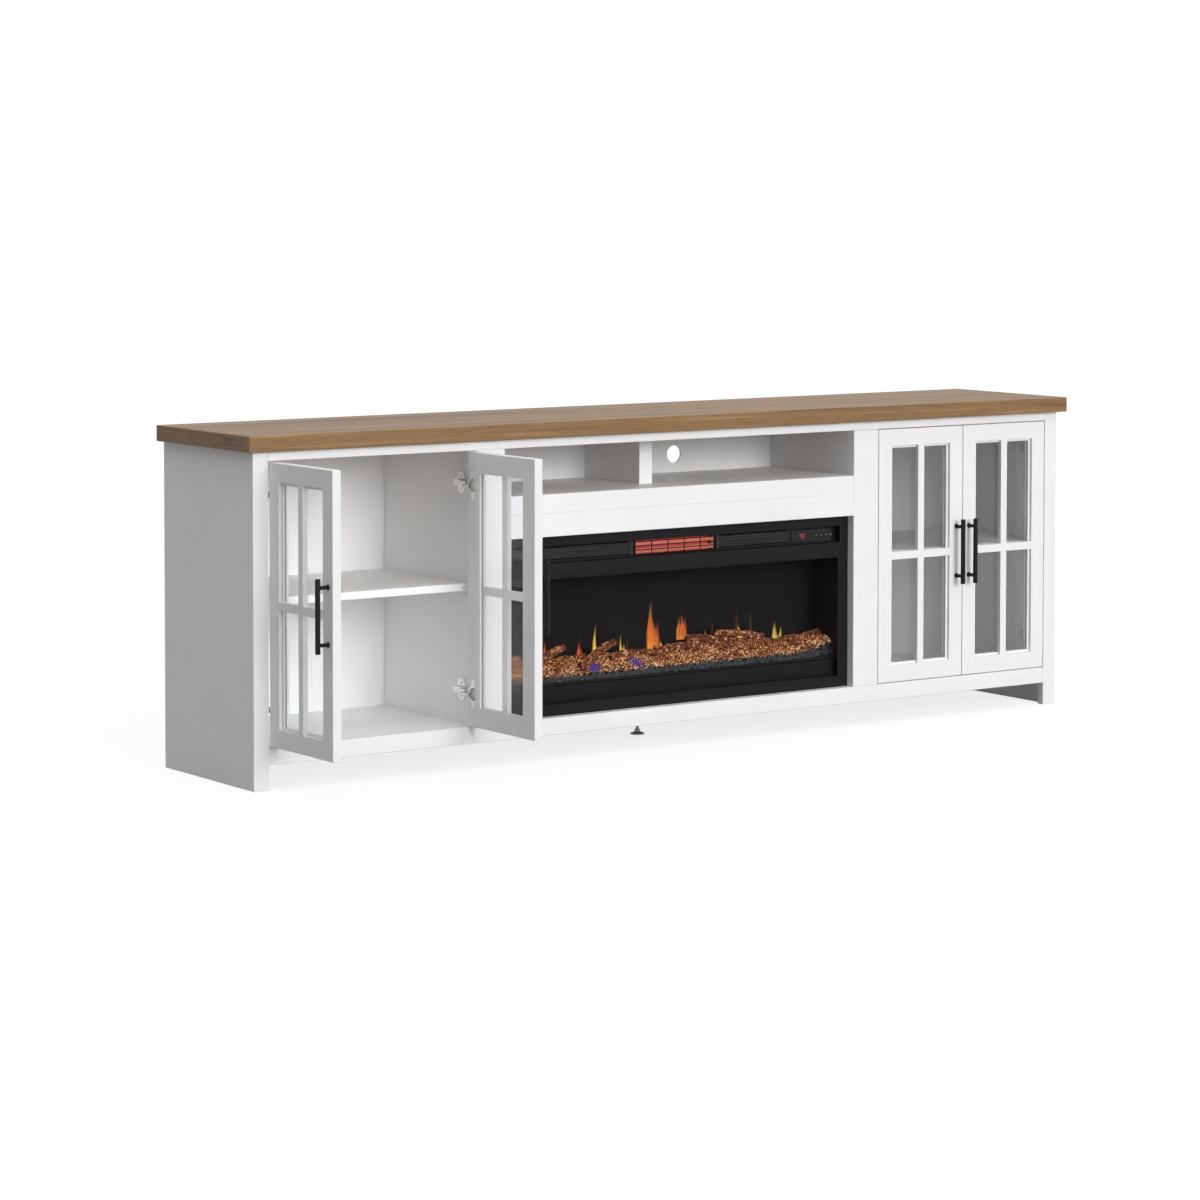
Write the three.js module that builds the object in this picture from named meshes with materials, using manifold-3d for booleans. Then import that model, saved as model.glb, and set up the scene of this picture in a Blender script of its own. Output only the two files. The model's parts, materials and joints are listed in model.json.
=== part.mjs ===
// A long media cabinet with glazed doors and a built-in electric fire, in millimetres.
// X runs along the width, the front faces -Y, Z is up, and the origin is on the floor
// under the middle of the cabinet. The left pair of doors stands open, the right pair is shut.
import * as THREE from 'three';
import { mergeVertices } from 'three/addons/utils/BufferGeometryUtils.js';
import Module from 'manifold-3d';

const wasm = await Module();
wasm.setup();

// Driving sizes of the cabinet
const overall = { length: 2471.7, depth: 441.3, height: 812.8 };
const slab = { thickness: 38, sideOverhang: 20, frontOverhang: 20, ease: 2 };
const frame = {
  thickness: 22, postWidth: 40, stileWidth: 80, topRail: 22, bottomRail: 41, toe: 58, header: 57,
};
const centre = {
  openingWidth: 1062, mediaHeight: 136.8, shelfEdge: 45, dividerLeft: -60, dividerWidth: 38,
  dividerSetback: 110, dividerFace: 22,
};
const boards = {
  side: 20, partition: 20, liner: 18, floor: 18, shelf: 18, divider: 18, back: 5, mediaBack: 6,
  stripMargin: 30, groove: 5, ease: 1, seam: 0.3,
};
const shelves = { rise: 319, frontSetback: 9, backGap: 2, sideGap: 0.5 };
const pins = { radius: 2.5, reach: 7, bite: 2, frontInset: 130, backInset: 60 };
const media = { backFromRear: 75, holeRadius: 22.5, holeX: 219, holeHeight: 46 };
const foot = {
  padRadius: 18, padHeight: 7, rimHeight: 3, neckRadius: 7, neckHeight: 13, stemRadius: 4,
  engaged: 5, travel: 10, holeGap: 0.3,
};
const cut = { overrun: 2 };
const easeShare = 0.2;

// Driving sizes of a door, its pull and its two concealed hinges
const door = {
  gap: 2, thickness: 22, rail: 43, mullion: 20, lipWidth: 6, lipDepth: 8, glassFront: 12,
  glass: 4, glassFit: 0.3, ease: 1, openAngle: Math.PI / 2,
};
const pull = {
  barRadius: 6, length: 168, centres: 128, standoff: 27, postRadius: 4.5, seatRadius: 6.5, seatHeight: 2,
  fromEdge: 20, roundEnd: 1.5, fit: 0.1,
};
const hinge = {
  fromEnd: 78, cupCentre: 21.5, cupRadius: 15.7, cupFloorGap: 1.25, flange: 1, rimWidth: 2.8,
  wingWidth: 15, wingHeight: 66, bite: 0.5,
  linkHalfWidth: 3, linkHalfThickness: 1.5, linkGap: 0.8, layerGap: 0.3,
  pinRadius: 1.5, pinFit: 0.3, pinTipGap: 0.15, bossInset: 0.2, bossHeight: 5.5,
  armAngle: THREE.MathUtils.degToRad(32), cupAngle: THREE.MathUtils.degToRad(80),
  linkMargin: THREE.MathUtils.degToRad(2),
  armWidth: 5, armLow: 7, armGap: 1.8, crankRise: 6, crankShift: 2.5, neckOverlap: 2,
  plateThickness: 2.2, plateLength: 38, plateHeight: 50, plateWaist: 18,
  railHeight: 14, railOut: 7.6, plateStart: 46, screwRadius: 3.2, screwHead: 1.4, screwSpacing: 32,
};

// Driving sizes of the electric fire
const fire = {
  setback: 1, sheet: 3, edgeGap: 0.4, housingGap: 6, housingWall: 2.5, housingDepth: 234, topGap: 2.5,
  recessSide: 27, recessDrop: 25, recessHeight: 43, recessDepth: 22,
  heaterHalf: 121, heaterHeight: 37.5, featureDrop: 4, louvreHeight: 33, louvreSide: 7, louvreHeaterGap: 14,
  louvrePanelGap: 10, slatPitch: 5.6, slatDepth: 6.4, slatThickness: 1.2, slatTilt: 0.62,
  slatRibEvery: 108, slatBite: 1, ribWidth: 2, shelfDrop: 5,
  windowSide: 33, windowRise: 29, windowDrop: 38, glassOverlap: 12.5, glass: 5, glassEase: 1.2,
};
const heater = {
  tubeRadius: 5.5, tubeSpacing: 17, blockLength: 12, blockHeight: 36, blockDepth: 15, gap: 0.3,
  wireRadius: 1.3, wirePitch: 48.4, wireInset: 3, wireRows: 2, wireBite: 0.5,
};
const panel = {
  width: 138, height: 32.5, side: 4, drop: 6.5, fit: 0.3, proud: 1.2, ease: 0.6,
  buttons: ['power_button', 'flame_button', 'heat_button', 'timer_button'],
  buttonWidth: 11, buttonHeight: 8, buttonFit: 0.3, buttonPitch: 15.5, buttonProud: 0.9, buttonLength: 6.5,
  lastButtonInset: 12, buttonEase: 0.5,
};
const hearth = {
  deckRise: 66, deckFront: 17, deckDepth: 112, deckThickness: 3, bedSide: 6,
  bedHeight: 16, bedRise: 30, bedDepth: 92, bedColumns: 34, bedRows: 4, bedLump: 6.5, bedGap: 0.3,
  screenThickness: 3, screenFromBed: 4, screenDrop: 20, logSides: 7, logRings: 3,
};
const spindle = {
  radius: 3, holeGap: 0.3, behindScreen: 30, rise: 133, vanes: 12, vaneLength: 52, vaneReach: 13,
  vaneThickness: 0.8, endGap: 0.4,
};
const inlet = {
  width: 30, height: 22, depth: 14, wall: 2.5, flange: 5, fit: 0.3, fromSide: 90, fromBottom: 60,
  pinRadius: 1.6, pinShort: 3.5,
};
const vents = { count: 9, width: 60, height: 6, pitch: 14, rise: 231 };

// Planes and edges worked out from the driving sizes
const carcassHalf = overall.length / 2 - slab.sideOverhang;
const backY = overall.depth / 2;
const frontY = slab.frontOverhang - overall.depth / 2;
const frameBackY = frontY + frame.thickness;
const insideY = frameBackY + boards.seam;
const slabBottom = overall.height - slab.thickness;
const underSlab = slabBottom - boards.seam;
const floorTop = frame.toe + frame.bottomRail;
const floorBottom = floorTop - boards.floor;
const standZ = floorTop - boards.groove;
const doorHeadZ = slabBottom - frame.topRail;
const centreHalf = centre.openingWidth / 2;
const stileOuter = centreHalf + frame.stileWidth;
const postInner = carcassHalf - frame.postWidth;
const sideInner = carcassHalf - boards.side;
const backPanelFront = backY - boards.back;
const shelfBottom = floorTop + shelves.rise;
const plateEnd = hinge.plateStart + hinge.plateLength;
const stripDepth = plateEnd - frame.thickness + boards.stripMargin;
const mediaFloor = slabBottom - centre.mediaHeight;
const headerTop = mediaFloor - centre.shelfEdge;
const headerBottom = headerTop - frame.header;
const mediaBackFront = backY - media.backFromRear;
const mediaBackRear = mediaBackFront + boards.mediaBack;
const doorWidth = (postInner - stileOuter - 3 * door.gap) / 2;
const doorHeight = doorHeadZ - floorTop - 2 * door.gap;
const doorBottom = floorTop + door.gap;

// Finishes
function finish(color, roughness, metalness, extra = {}) {
  return new THREE.MeshStandardMaterial({ color, roughness, metalness, ...extra });
}
const finishes = {
  oak: finish(0xa5805a, 0.5, 0),
  paint: finish(0xf1f1ef, 0.45, 0),
  glass: finish(0xdfe6e8, 0.05, 0, { transparent: true, opacity: 0.3 }),
  blackMetal: finish(0x1b1b1c, 0.45, 0.6),
  nickel: finish(0xb9bbbd, 0.3, 0.9),
  fireBlack: finish(0x161617, 0.5, 0.3),
  darkGlass: finish(0x0c0c0d, 0.05, 0, { transparent: true, opacity: 0.4 }),
  quartz: finish(0xff4a22, 0.3, 0),
  gloss: finish(0x0b0b0c, 0.15, 0),
  ember: finish(0xc46a33, 0.8, 0),
  screen: finish(0x1a1717, 0.6, 0),
  footGrey: finish(0x55585b, 0.5, 0.5),
};

// Turns a closed geometry into a solid that can be joined and cut
function toSolid(geometry) {
  const bare = geometry.index ? geometry.toNonIndexed() : geometry.clone();
  bare.deleteAttribute('normal');
  bare.deleteAttribute('uv');
  const merged = mergeVertices(bare);
  return new wasm.Manifold(new wasm.Mesh({
    numProp: 3,
    vertProperties: Float32Array.from(merged.attributes.position.array),
    triVerts: Uint32Array.from(merged.index.array),
  }));
}

function toGeometry(solid) {
  const mesh = solid.getMesh();
  const geometry = new THREE.BufferGeometry();
  geometry.setAttribute('position', new THREE.BufferAttribute(Float32Array.from(mesh.vertProperties), 3));
  geometry.setIndex(new THREE.BufferAttribute(Uint32Array.from(mesh.triVerts), 1));
  geometry.computeVertexNormals();
  return geometry;
}

function join(parts) {
  return parts.map(toSolid).reduce((whole, piece) => whole.add(piece));
}

function cutAll(solid, cutters) {
  return cutters.reduce((left, cutter) => left.subtract(toSolid(cutter)), solid);
}

function mesh(name, geometry, material) {
  const piece = new THREE.Mesh(geometry, material);
  piece.name = name;
  return piece;
}

// A rectangle whose corners are cut back by the given amount
function rectangle(x0, x1, y0, y1, corner = 0) {
  const shape = new THREE.Shape();
  if (corner <= 0) {
    shape.moveTo(x0, y0);
    shape.lineTo(x1, y0);
    shape.lineTo(x1, y1);
    shape.lineTo(x0, y1);
    return shape;
  }
  shape.moveTo(x0 + corner, y0);
  shape.lineTo(x1 - corner, y0);
  shape.lineTo(x1, y0 + corner);
  shape.lineTo(x1, y1 - corner);
  shape.lineTo(x1 - corner, y1);
  shape.lineTo(x0 + corner, y1);
  shape.lineTo(x0, y1 - corner);
  shape.lineTo(x0, y0 + corner);
  return shape;
}

function extrusion(shape, depth, ease, curveSegments) {
  if (ease <= 0) {
    return new THREE.ExtrudeGeometry(shape, { depth, bevelEnabled: false, curveSegments });
  }
  const geometry = new THREE.ExtrudeGeometry(shape, {
    depth: depth - 2 * ease,
    bevelEnabled: true,
    bevelThickness: ease,
    bevelSize: ease,
    bevelOffset: -ease,
    bevelSegments: 1,
    curveSegments,
  });
  return geometry.translate(0, 0, ease);
}

// Plates drawn in one plane and pushed out along the third axis, from the low to the high value
function plateXY(shape, z0, z1, ease = 0, curveSegments = 12) {
  return extrusion(shape, z1 - z0, ease, curveSegments).translate(0, 0, z0);
}

function plateXZ(shape, y0, y1, ease = 0, curveSegments = 12) {
  const turn = new THREE.Matrix4().makeBasis(
    new THREE.Vector3(1, 0, 0), new THREE.Vector3(0, 0, 1), new THREE.Vector3(0, -1, 0),
  );
  return extrusion(shape, y1 - y0, ease, curveSegments).applyMatrix4(turn).translate(0, y1, 0);
}

function plateYZ(shape, x0, x1, ease = 0, curveSegments = 12) {
  const turn = new THREE.Matrix4().makeBasis(
    new THREE.Vector3(0, 1, 0), new THREE.Vector3(0, 0, 1), new THREE.Vector3(1, 0, 0),
  );
  return extrusion(shape, x1 - x0, ease, curveSegments).applyMatrix4(turn).translate(x0, 0, 0);
}

// A board between two corners, with all its arrises eased
function board(low, high, ease = boards.ease) {
  const smallest = Math.min(high[0] - low[0], high[1] - low[1], high[2] - low[2]);
  const soft = Math.min(ease, smallest * easeShare);
  return plateXY(rectangle(low[0], high[0], low[1], high[1], soft), low[2], high[2], soft);
}

function block(low, high) {
  return plateXY(rectangle(low[0], high[0], low[1], high[1]), low[2], high[2]);
}

function rod(radius, start, end, sides = 16) {
  const from = new THREE.Vector3(...start);
  const to = new THREE.Vector3(...end);
  const along = to.clone().sub(from);
  const turn = new THREE.Quaternion().setFromUnitVectors(
    new THREE.Vector3(0, 1, 0), along.clone().normalize(),
  );
  const middle = from.clone().add(to).multiplyScalar(1 / 2);
  return new THREE.CylinderGeometry(radius, radius, along.length(), sides)
    .applyQuaternion(turn)
    .translate(middle.x, middle.y, middle.z);
}

const cabinet = new THREE.Group();

// Top slab
cabinet.add(mesh('top_slab', board(
  [-overall.length / 2, -overall.depth / 2, slabBottom],
  [overall.length / 2, overall.depth / 2, overall.height],
  slab.ease,
), finishes.oak));

// Doors. Each is drawn shut, with the corner of its hinge edge and front face at the origin,
// u across the door towards its free edge, v into the cabinet; sign turns u into X.
const hingeHeights = [hinge.fromEnd, doorHeight - hinge.fromEnd];
const doorSet = {
  left_outer: { sign: 1, x: door.gap - postInner, open: true },
  left_inner: { sign: -1, x: -stileOuter - door.gap, open: true },
  right_inner: { sign: 1, x: stileOuter + door.gap, open: false },
  right_outer: { sign: -1, x: postInner - door.gap, open: false },
};

function spanX(sign, u0, u1) {
  return sign > 0 ? [u0, u1] : [-u1, -u0];
}

function doorRectangle(sign, u0, u1, z0, z1, corner = 0) {
  const [x0, x1] = spanX(sign, u0, u1);
  return rectangle(x0, x1, z0, z1, corner);
}

// The circle that the hinge pins ride on, about the corner that the door turns on. It clears the
// nearest corner of the cup's rim by the link's half width and a gap.
const linkRadius = Math.hypot(hinge.cupCentre - hinge.cupRadius, door.thickness + hinge.flange)
  + hinge.linkHalfWidth + hinge.linkGap;

function onLinkCircle(sign, angle) {
  return [sign * linkRadius * Math.cos(angle), linkRadius * Math.sin(angle)];
}

const lowLayer = -hinge.linkHalfThickness - hinge.layerGap;
const highLayer = hinge.linkHalfThickness + hinge.layerGap;
const pocketFloor = linkRadius * Math.sin(hinge.armAngle - hinge.linkMargin)
  - hinge.linkHalfWidth - hinge.cupFloorGap;
const rimRadius = hinge.cupRadius + hinge.rimWidth;
const bossRadius = hinge.linkHalfWidth - hinge.bossInset;

// The flange of a hinge cup on the back of the door, with the ear and pin that its link rides on
function hingeCup(sign, z) {
  const seat = door.thickness - hinge.bite;
  const top = door.thickness + hinge.flange;
  const rim = rod(rimRadius, [sign * hinge.cupCentre, seat, z], [sign * hinge.cupCentre, top, z], 18);
  const wing = plateXZ(doorRectangle(sign, hinge.cupCentre - hinge.wingWidth / 2,
    hinge.cupCentre + hinge.wingWidth / 2, z - hinge.wingHeight / 2, z + hinge.wingHeight / 2,
    hinge.wingWidth / 4), seat, top);
  return toSolid(rim).add(toSolid(wing));
}

function cupPocket(sign, z) {
  return rod(hinge.cupRadius, [sign * hinge.cupCentre, pocketFloor, z],
    [sign * hinge.cupCentre, door.thickness + hinge.flange + cut.overrun, z], 18);
}

function cupEar(sign, z) {
  const [x, y] = onLinkCircle(sign, hinge.cupAngle);
  const seat = door.thickness - hinge.bite;
  const ear = new THREE.Shape();
  ear.moveTo(x - bossRadius, seat);
  ear.lineTo(x + bossRadius, seat);
  ear.lineTo(x + bossRadius, y);
  ear.absarc(x, y, bossRadius, 0, Math.PI, false);
  ear.lineTo(x - bossRadius, seat);
  const plate = plateXY(ear, z + lowLayer - hinge.bossHeight, z + lowLayer, 0, 4);
  const pin = rod(hinge.pinRadius, [x, y, z + lowLayer - hinge.layerGap], [x, y, z - hinge.pinTipGap], 8);
  return toSolid(plate).add(toSolid(pin));
}

function doorFrame(sign) {
  const outer = plateXZ(doorRectangle(sign, 0, doorWidth, 0, doorHeight, door.ease),
    0, door.thickness, door.ease);
  const innerEdge = door.rail + door.lipWidth;
  const barLow = (doorWidth - door.mullion) / 2;
  const barHigh = (doorWidth + door.mullion) / 2;
  const railLow = (doorHeight - door.mullion) / 2;
  const railHigh = (doorHeight + door.mullion) / 2;
  const glassMiddle = door.glassFront + door.glass / 2;
  const cutters = [];
  for (const [u0, u1, lipLow, lipHigh] of [
    [door.rail, barLow, innerEdge, barLow],
    [barHigh, doorWidth - door.rail, barHigh, doorWidth - innerEdge],
  ]) {
    for (const [z0, z1, lipBottom, lipTop] of [
      [door.rail, railLow, innerEdge, railLow],
      [railHigh, doorHeight - door.rail, railHigh, doorHeight - innerEdge],
    ]) {
      cutters.push(plateXZ(doorRectangle(sign, u0, u1, z0, z1), -cut.overrun, door.lipDepth));
      cutters.push(plateXZ(doorRectangle(sign, lipLow, lipHigh, lipBottom, lipTop),
        -cut.overrun, glassMiddle));
    }
  }
  cutters.push(plateXZ(doorRectangle(sign, door.rail, doorWidth - door.rail, door.rail,
    doorHeight - door.rail), door.glassFront, door.glassFront + door.glass + door.glassFit));
  cutters.push(plateXZ(doorRectangle(sign, innerEdge, doorWidth - innerEdge, innerEdge,
    doorHeight - innerEdge), glassMiddle, door.thickness + cut.overrun));
  const opened = cutAll(toSolid(outer), cutters);
  const leaf = hingeHeights.reduce((whole, z) => whole.add(hingeCup(sign, z)), opened);
  const pocketed = cutAll(leaf, hingeHeights.map((z) => cupPocket(sign, z)));
  return toGeometry(hingeHeights.reduce((whole, z) => whole.add(cupEar(sign, z)), pocketed));
}

function doorGlass(sign) {
  const edge = door.rail + door.glassFit;
  const front = door.glassFront + door.glassFit / 2;
  return plateXZ(doorRectangle(sign, edge, doorWidth - edge, edge, doorHeight - edge),
    front, front + door.glass);
}

function doorPull(sign) {
  const x = sign * (doorWidth - pull.fromEdge);
  const middle = doorHeight / 2;
  const half = pull.length / 2;
  const profile = [
    [0, -half],
    [pull.barRadius - pull.roundEnd, -half],
    [pull.barRadius, pull.roundEnd - half],
    [pull.barRadius, half - pull.roundEnd],
    [pull.barRadius - pull.roundEnd, half],
    [0, half],
  ].map(([radius, height]) => new THREE.Vector2(radius, height));
  const bar = new THREE.LatheGeometry(profile, 14)
    .rotateX(Math.PI / 2)
    .translate(x, -pull.standoff, middle);
  const pieces = [bar];
  for (const z of [middle - pull.centres / 2, middle + pull.centres / 2]) {
    pieces.push(rod(pull.postRadius, [x, -pull.standoff, z], [x, -pull.fit, z], 10));
    pieces.push(rod(pull.seatRadius, [x, -pull.seatHeight, z], [x, -pull.fit, z], 10));
  }
  return toGeometry(join(pieces));
}

// A band of even half width along the circle of the hinge pins, with round ends
function crescent(sign, halfWidth) {
  const low = hinge.armAngle - hinge.linkMargin;
  const high = hinge.cupAngle + hinge.linkMargin;
  const [outside, inside] = [linkRadius + halfWidth, linkRadius - halfWidth];
  const shape = new THREE.Shape();
  shape.absarc(0, 0, outside, low, high, false);
  shape.absarc(...onLinkCircle(1, high), halfWidth, high, high + Math.PI, false);
  shape.absarc(0, 0, inside, high, low, true);
  shape.absarc(...onLinkCircle(1, low), halfWidth, low + Math.PI, low + 2 * Math.PI, false);
  const points = shape.getPoints(3);
  return new THREE.Shape(points.map((point) => new THREE.Vector2(sign * point.x, point.y)));
}

// The link is a crescent with a slot; the arm's pin and the cup's pin ride in the slot
function hingeLink(sign, z) {
  const body = plateXY(crescent(sign, hinge.linkHalfWidth),
    z - hinge.linkHalfThickness, z + hinge.linkHalfThickness);
  const slot = plateXY(crescent(sign, hinge.pinRadius + hinge.pinFit),
    z - hinge.linkHalfThickness - cut.overrun, z + hinge.linkHalfThickness + cut.overrun);
  return toGeometry(toSolid(body).subtract(toSolid(slot)));
}

// A band of even width along a path of points, with mitred bends
function band(points, width) {
  const half = width / 2;
  const normals = points.slice(1).map((point, index) => {
    const [dx, dy] = [point[0] - points[index][0], point[1] - points[index][1]];
    const size = Math.hypot(dx, dy);
    return [-dy / size, dx / size];
  });
  const offset = (index, side) => {
    const before = normals[Math.max(index - 1, 0)];
    const after = normals[Math.min(index, normals.length - 1)];
    const scale = half * side / (1 + before[0] * after[0] + before[1] * after[1]);
    const [x, y] = points[index];
    return new THREE.Vector2(x + (before[0] + after[0]) * scale, y + (before[1] + after[1]) * scale);
  };
  const there = points.map((_, index) => offset(index, 1));
  const back = points.map((_, index) => offset(index, -1)).reverse();
  return new THREE.Shape([...there, ...back]);
}

// Arm: a cranked strip that leaves the plate, turns out round the door edge and ends in a pin
function hingeArm(sign, z) {
  const [x, y] = onLinkCircle(sign, hinge.armAngle);
  const armOut = sign * (hinge.railOut - door.gap + hinge.armWidth / 2 - hinge.bite);
  const halfWidth = hinge.armWidth / 2;
  const kneeDepth = halfWidth + Math.sqrt(
    (linkRadius + hinge.linkHalfWidth + hinge.armGap) ** 2 - (Math.abs(x) - halfWidth) ** 2,
  );
  const path = [
    [armOut, plateEnd],
    [armOut, hinge.plateStart],
    [x - sign * hinge.crankShift, kneeDepth + hinge.crankRise],
    [x, kneeDepth],
  ];
  const high = z + highLayer + hinge.bossHeight;
  const strip = plateXY(band(path, hinge.armWidth), z - hinge.armLow, high);
  const neck = plateXY(band([[x, kneeDepth + hinge.neckOverlap], [x, y]], hinge.armWidth),
    z + highLayer, high);
  const boss = rod(bossRadius, [x, y, z + highLayer], [x, y, high], 10);
  const pin = rod(hinge.pinRadius, [x, y, z + hinge.pinTipGap], [x, y, z + highLayer + hinge.layerGap], 8);
  return join([strip, neck, boss, pin]);
}

// Plate: a winged base on the cabinet wall with a raised rail that the arm is fixed on
function hingePlate(sign, z) {
  const near = hinge.plateStart;
  const far = plateEnd;
  const half = hinge.plateHeight / 2;
  const waist = hinge.plateWaist / 2;
  const quarter = hinge.plateLength / 4;
  const wings = new THREE.Shape([
    [near, z - waist], [near + quarter, z - half], [far - quarter, z - half], [far, z - waist],
    [far, z + waist], [far - quarter, z + half], [near + quarter, z + half], [near, z + waist],
  ].map(([v, height]) => new THREE.Vector2(v, height)));
  const rail = rectangle(near, far, z - hinge.railHeight / 2, z + hinge.railHeight / 2, hinge.flange);
  const rise = (out) => spanX(sign, -door.gap - hinge.bite, out - door.gap);
  const pieces = [plateYZ(wings, ...rise(hinge.plateThickness)), plateYZ(rail, ...rise(hinge.railOut))];
  const middle = (near + far) / 2;
  for (const side of [-1, 1]) {
    const height = z + side * hinge.screwSpacing / 2;
    const [x0, x1] = rise(hinge.plateThickness + hinge.screwHead);
    pieces.push(rod(hinge.screwRadius, [x0, middle, height], [x1, middle, height], 8));
  }
  return join(pieces);
}

// A board with the two arms and plates of one door's hinges fixed to it
function withHinges(solid, doorName) {
  const { sign, x } = doorSet[doorName];
  return hingeHeights.reduce((whole, z) => whole
    .add(hingePlate(sign, z).translate(x, frontY, doorBottom))
    .add(hingeArm(sign, z).translate(x, frontY, doorBottom)), solid);
}

// Shelf pins stand out of the board whose inner face is at faceX; into points into the board
const pinRows = [insideY + pins.frontInset, backPanelFront - pins.backInset];
const pinZ = shelfBottom - boards.seam - pins.radius;

function withPins(solid, faceX, into) {
  return pinRows.reduce((whole, y) => whole.add(toSolid(rod(
    pins.radius, [faceX + into * pins.bite, y, pinZ], [faceX - into * pins.reach, y, pinZ], 8,
  ))), solid);
}

// A shelf with its outer front corner cut away for the packing strip
function shelfBoard(sign) {
  const front = frameBackY + shelves.frontSetback;
  const back = backPanelFront - shelves.backGap;
  const notchX = sign * (postInner - shelves.sideGap);
  const notchY = insideY + stripDepth + shelves.sideGap;
  const outer = sign * (sideInner - shelves.sideGap);
  const inner = sign * (stileOuter + shelves.sideGap);
  const outline = new THREE.Shape([
    [inner, front], [notchX, front], [notchX, notchY], [outer, notchY], [outer, back], [inner, back],
  ].map(([x, y]) => new THREE.Vector2(x, y)));
  return plateXY(outline, shelfBottom, shelfBottom + boards.shelf, boards.ease);
}

// Posts, side panels, strips, partitions and the lining of the middle bay, mirrored left and right
for (const [side, sign] of [['left', -1], ['right', 1]]) {
  const upright = (inner, outer, y0, y1, z0, z1) => {
    const [x0, x1] = spanX(sign, inner, outer);
    return board([x0, y0, z0], [x1, y1, z1]);
  };
  cabinet.add(mesh(`${side}_front_post`,
    upright(postInner, carcassHalf, frontY, frameBackY, 0, underSlab), finishes.paint));
  cabinet.add(mesh(`${side}_middle_stile`,
    upright(centreHalf, stileOuter, frontY, frameBackY, floorTop + boards.seam, doorHeadZ - boards.seam),
    finishes.paint));

  const sidePanel = toSolid(upright(sideInner, carcassHalf, insideY, backY, 0, underSlab));
  cabinet.add(mesh(`${side}_side_panel`,
    toGeometry(withPins(sidePanel, sign * sideInner, sign)), finishes.paint));

  const strip = toSolid(upright(postInner, sideInner - boards.seam, insideY, insideY + stripDepth,
    standZ, underSlab));
  cabinet.add(mesh(`${side}_hinge_strip`, toGeometry(withHinges(strip, `${side}_outer`)), finishes.paint));

  const partition = toSolid(upright(stileOuter - boards.partition, stileOuter, insideY,
    backPanelFront - boards.seam, standZ, underSlab));
  const pinned = withPins(partition, sign * stileOuter, -sign);
  cabinet.add(mesh(`${side}_partition`, toGeometry(withHinges(pinned, `${side}_inner`)), finishes.paint));

  cabinet.add(mesh(`${side}_centre_side`,
    upright(centreHalf, centreHalf + boards.liner, insideY, backY, standZ, underSlab), finishes.paint));
  cabinet.add(mesh(`${side}_back_panel`,
    upright(centreHalf + boards.liner + boards.seam, sideInner - boards.seam, backPanelFront, backY,
      floorBottom, underSlab), finishes.paint));
  cabinet.add(mesh(`${side}_shelf`, shelfBoard(sign), finishes.paint));
}

// Rails of the face frame
cabinet.add(mesh('top_rail', board(
  [boards.seam - postInner, frontY, doorHeadZ], [postInner - boards.seam, frameBackY, underSlab],
), finishes.paint));
cabinet.add(mesh('bottom_rail', board(
  [boards.seam - postInner, frontY, frame.toe], [postInner - boards.seam, frameBackY, floorTop],
), finishes.paint));
cabinet.add(mesh('insert_header_rail', board(
  [boards.seam - centreHalf, frontY, headerBottom],
  [centreHalf - boards.seam, frameBackY, headerTop - boards.seam],
), finishes.paint));

// Floor board with a blind hole for the levelling foot, and a groove for each board that stands in it
const footHole = rod(foot.stemRadius + foot.holeGap,
  [0, 0, floorBottom - cut.overrun], [0, 0, floorBottom + foot.engaged + foot.travel + foot.holeGap]);

function floorGroove(sign, inner, outer, y1) {
  const [x0, x1] = spanX(sign, inner - boards.seam, outer + boards.seam);
  return block([x0, insideY - cut.overrun, standZ - boards.seam], [x1, y1, floorTop + cut.overrun]);
}
const floorGrooves = [-1, 1].flatMap((sign) => [
  floorGroove(sign, postInner, sideInner, insideY + stripDepth + boards.seam),
  floorGroove(sign, stileOuter - boards.partition, stileOuter, backY),
  floorGroove(sign, centreHalf, centreHalf + boards.liner, backY),
]);
cabinet.add(mesh('bottom_panel', toGeometry(cutAll(toSolid(board(
  [boards.seam - sideInner, insideY, floorBottom],
  [sideInner - boards.seam, backPanelFront - boards.seam, floorTop],
)), [footHole, ...floorGrooves])), finishes.paint));

// Media shelf: a board behind a deep front edge, so its end view is an L. The divider stands in a
// groove in it: a narrow stile with a board behind its left half.
const mediaShelfBack = mediaBackFront - boards.seam;
const mediaShelfOutline = new THREE.Shape([
  [frontY, headerTop], [frameBackY, headerTop], [frameBackY, mediaFloor - boards.shelf],
  [mediaShelfBack, mediaFloor - boards.shelf], [mediaShelfBack, mediaFloor], [frontY, mediaFloor],
].map(([y, z]) => new THREE.Vector2(y, z)));
const dividerRight = centre.dividerLeft + centre.dividerWidth;
const dividerBoardRight = centre.dividerLeft + boards.divider;
const dividerFront = frontY + centre.dividerSetback;
const dividerFaceBack = dividerFront + centre.dividerFace;
const dividerBack = mediaShelfBack;
const dividerBottom = mediaFloor - boards.groove;

function dividerGroove(right, y0, y1) {
  return block([centre.dividerLeft - boards.seam, y0 - boards.seam, dividerBottom - boards.seam],
    [right + boards.seam, y1 + boards.seam, mediaFloor + cut.overrun]);
}
cabinet.add(mesh('media_shelf', toGeometry(cutAll(toSolid(plateYZ(mediaShelfOutline,
  boards.seam - centreHalf, centreHalf - boards.seam, boards.ease)), [
  dividerGroove(dividerRight, dividerFront, dividerFaceBack),
  dividerGroove(dividerBoardRight, dividerFaceBack, mediaBackFront),
])), finishes.paint));
const dividerOutline = new THREE.Shape([
  [centre.dividerLeft, dividerFront], [dividerRight, dividerFront], [dividerRight, dividerFaceBack],
  [dividerBoardRight, dividerFaceBack], [dividerBoardRight, dividerBack], [centre.dividerLeft, dividerBack],
].map(([x, y]) => new THREE.Vector2(x, y)));
cabinet.add(mesh('media_divider', plateXY(dividerOutline,
  dividerBottom, underSlab, boards.ease), finishes.paint));

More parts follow.
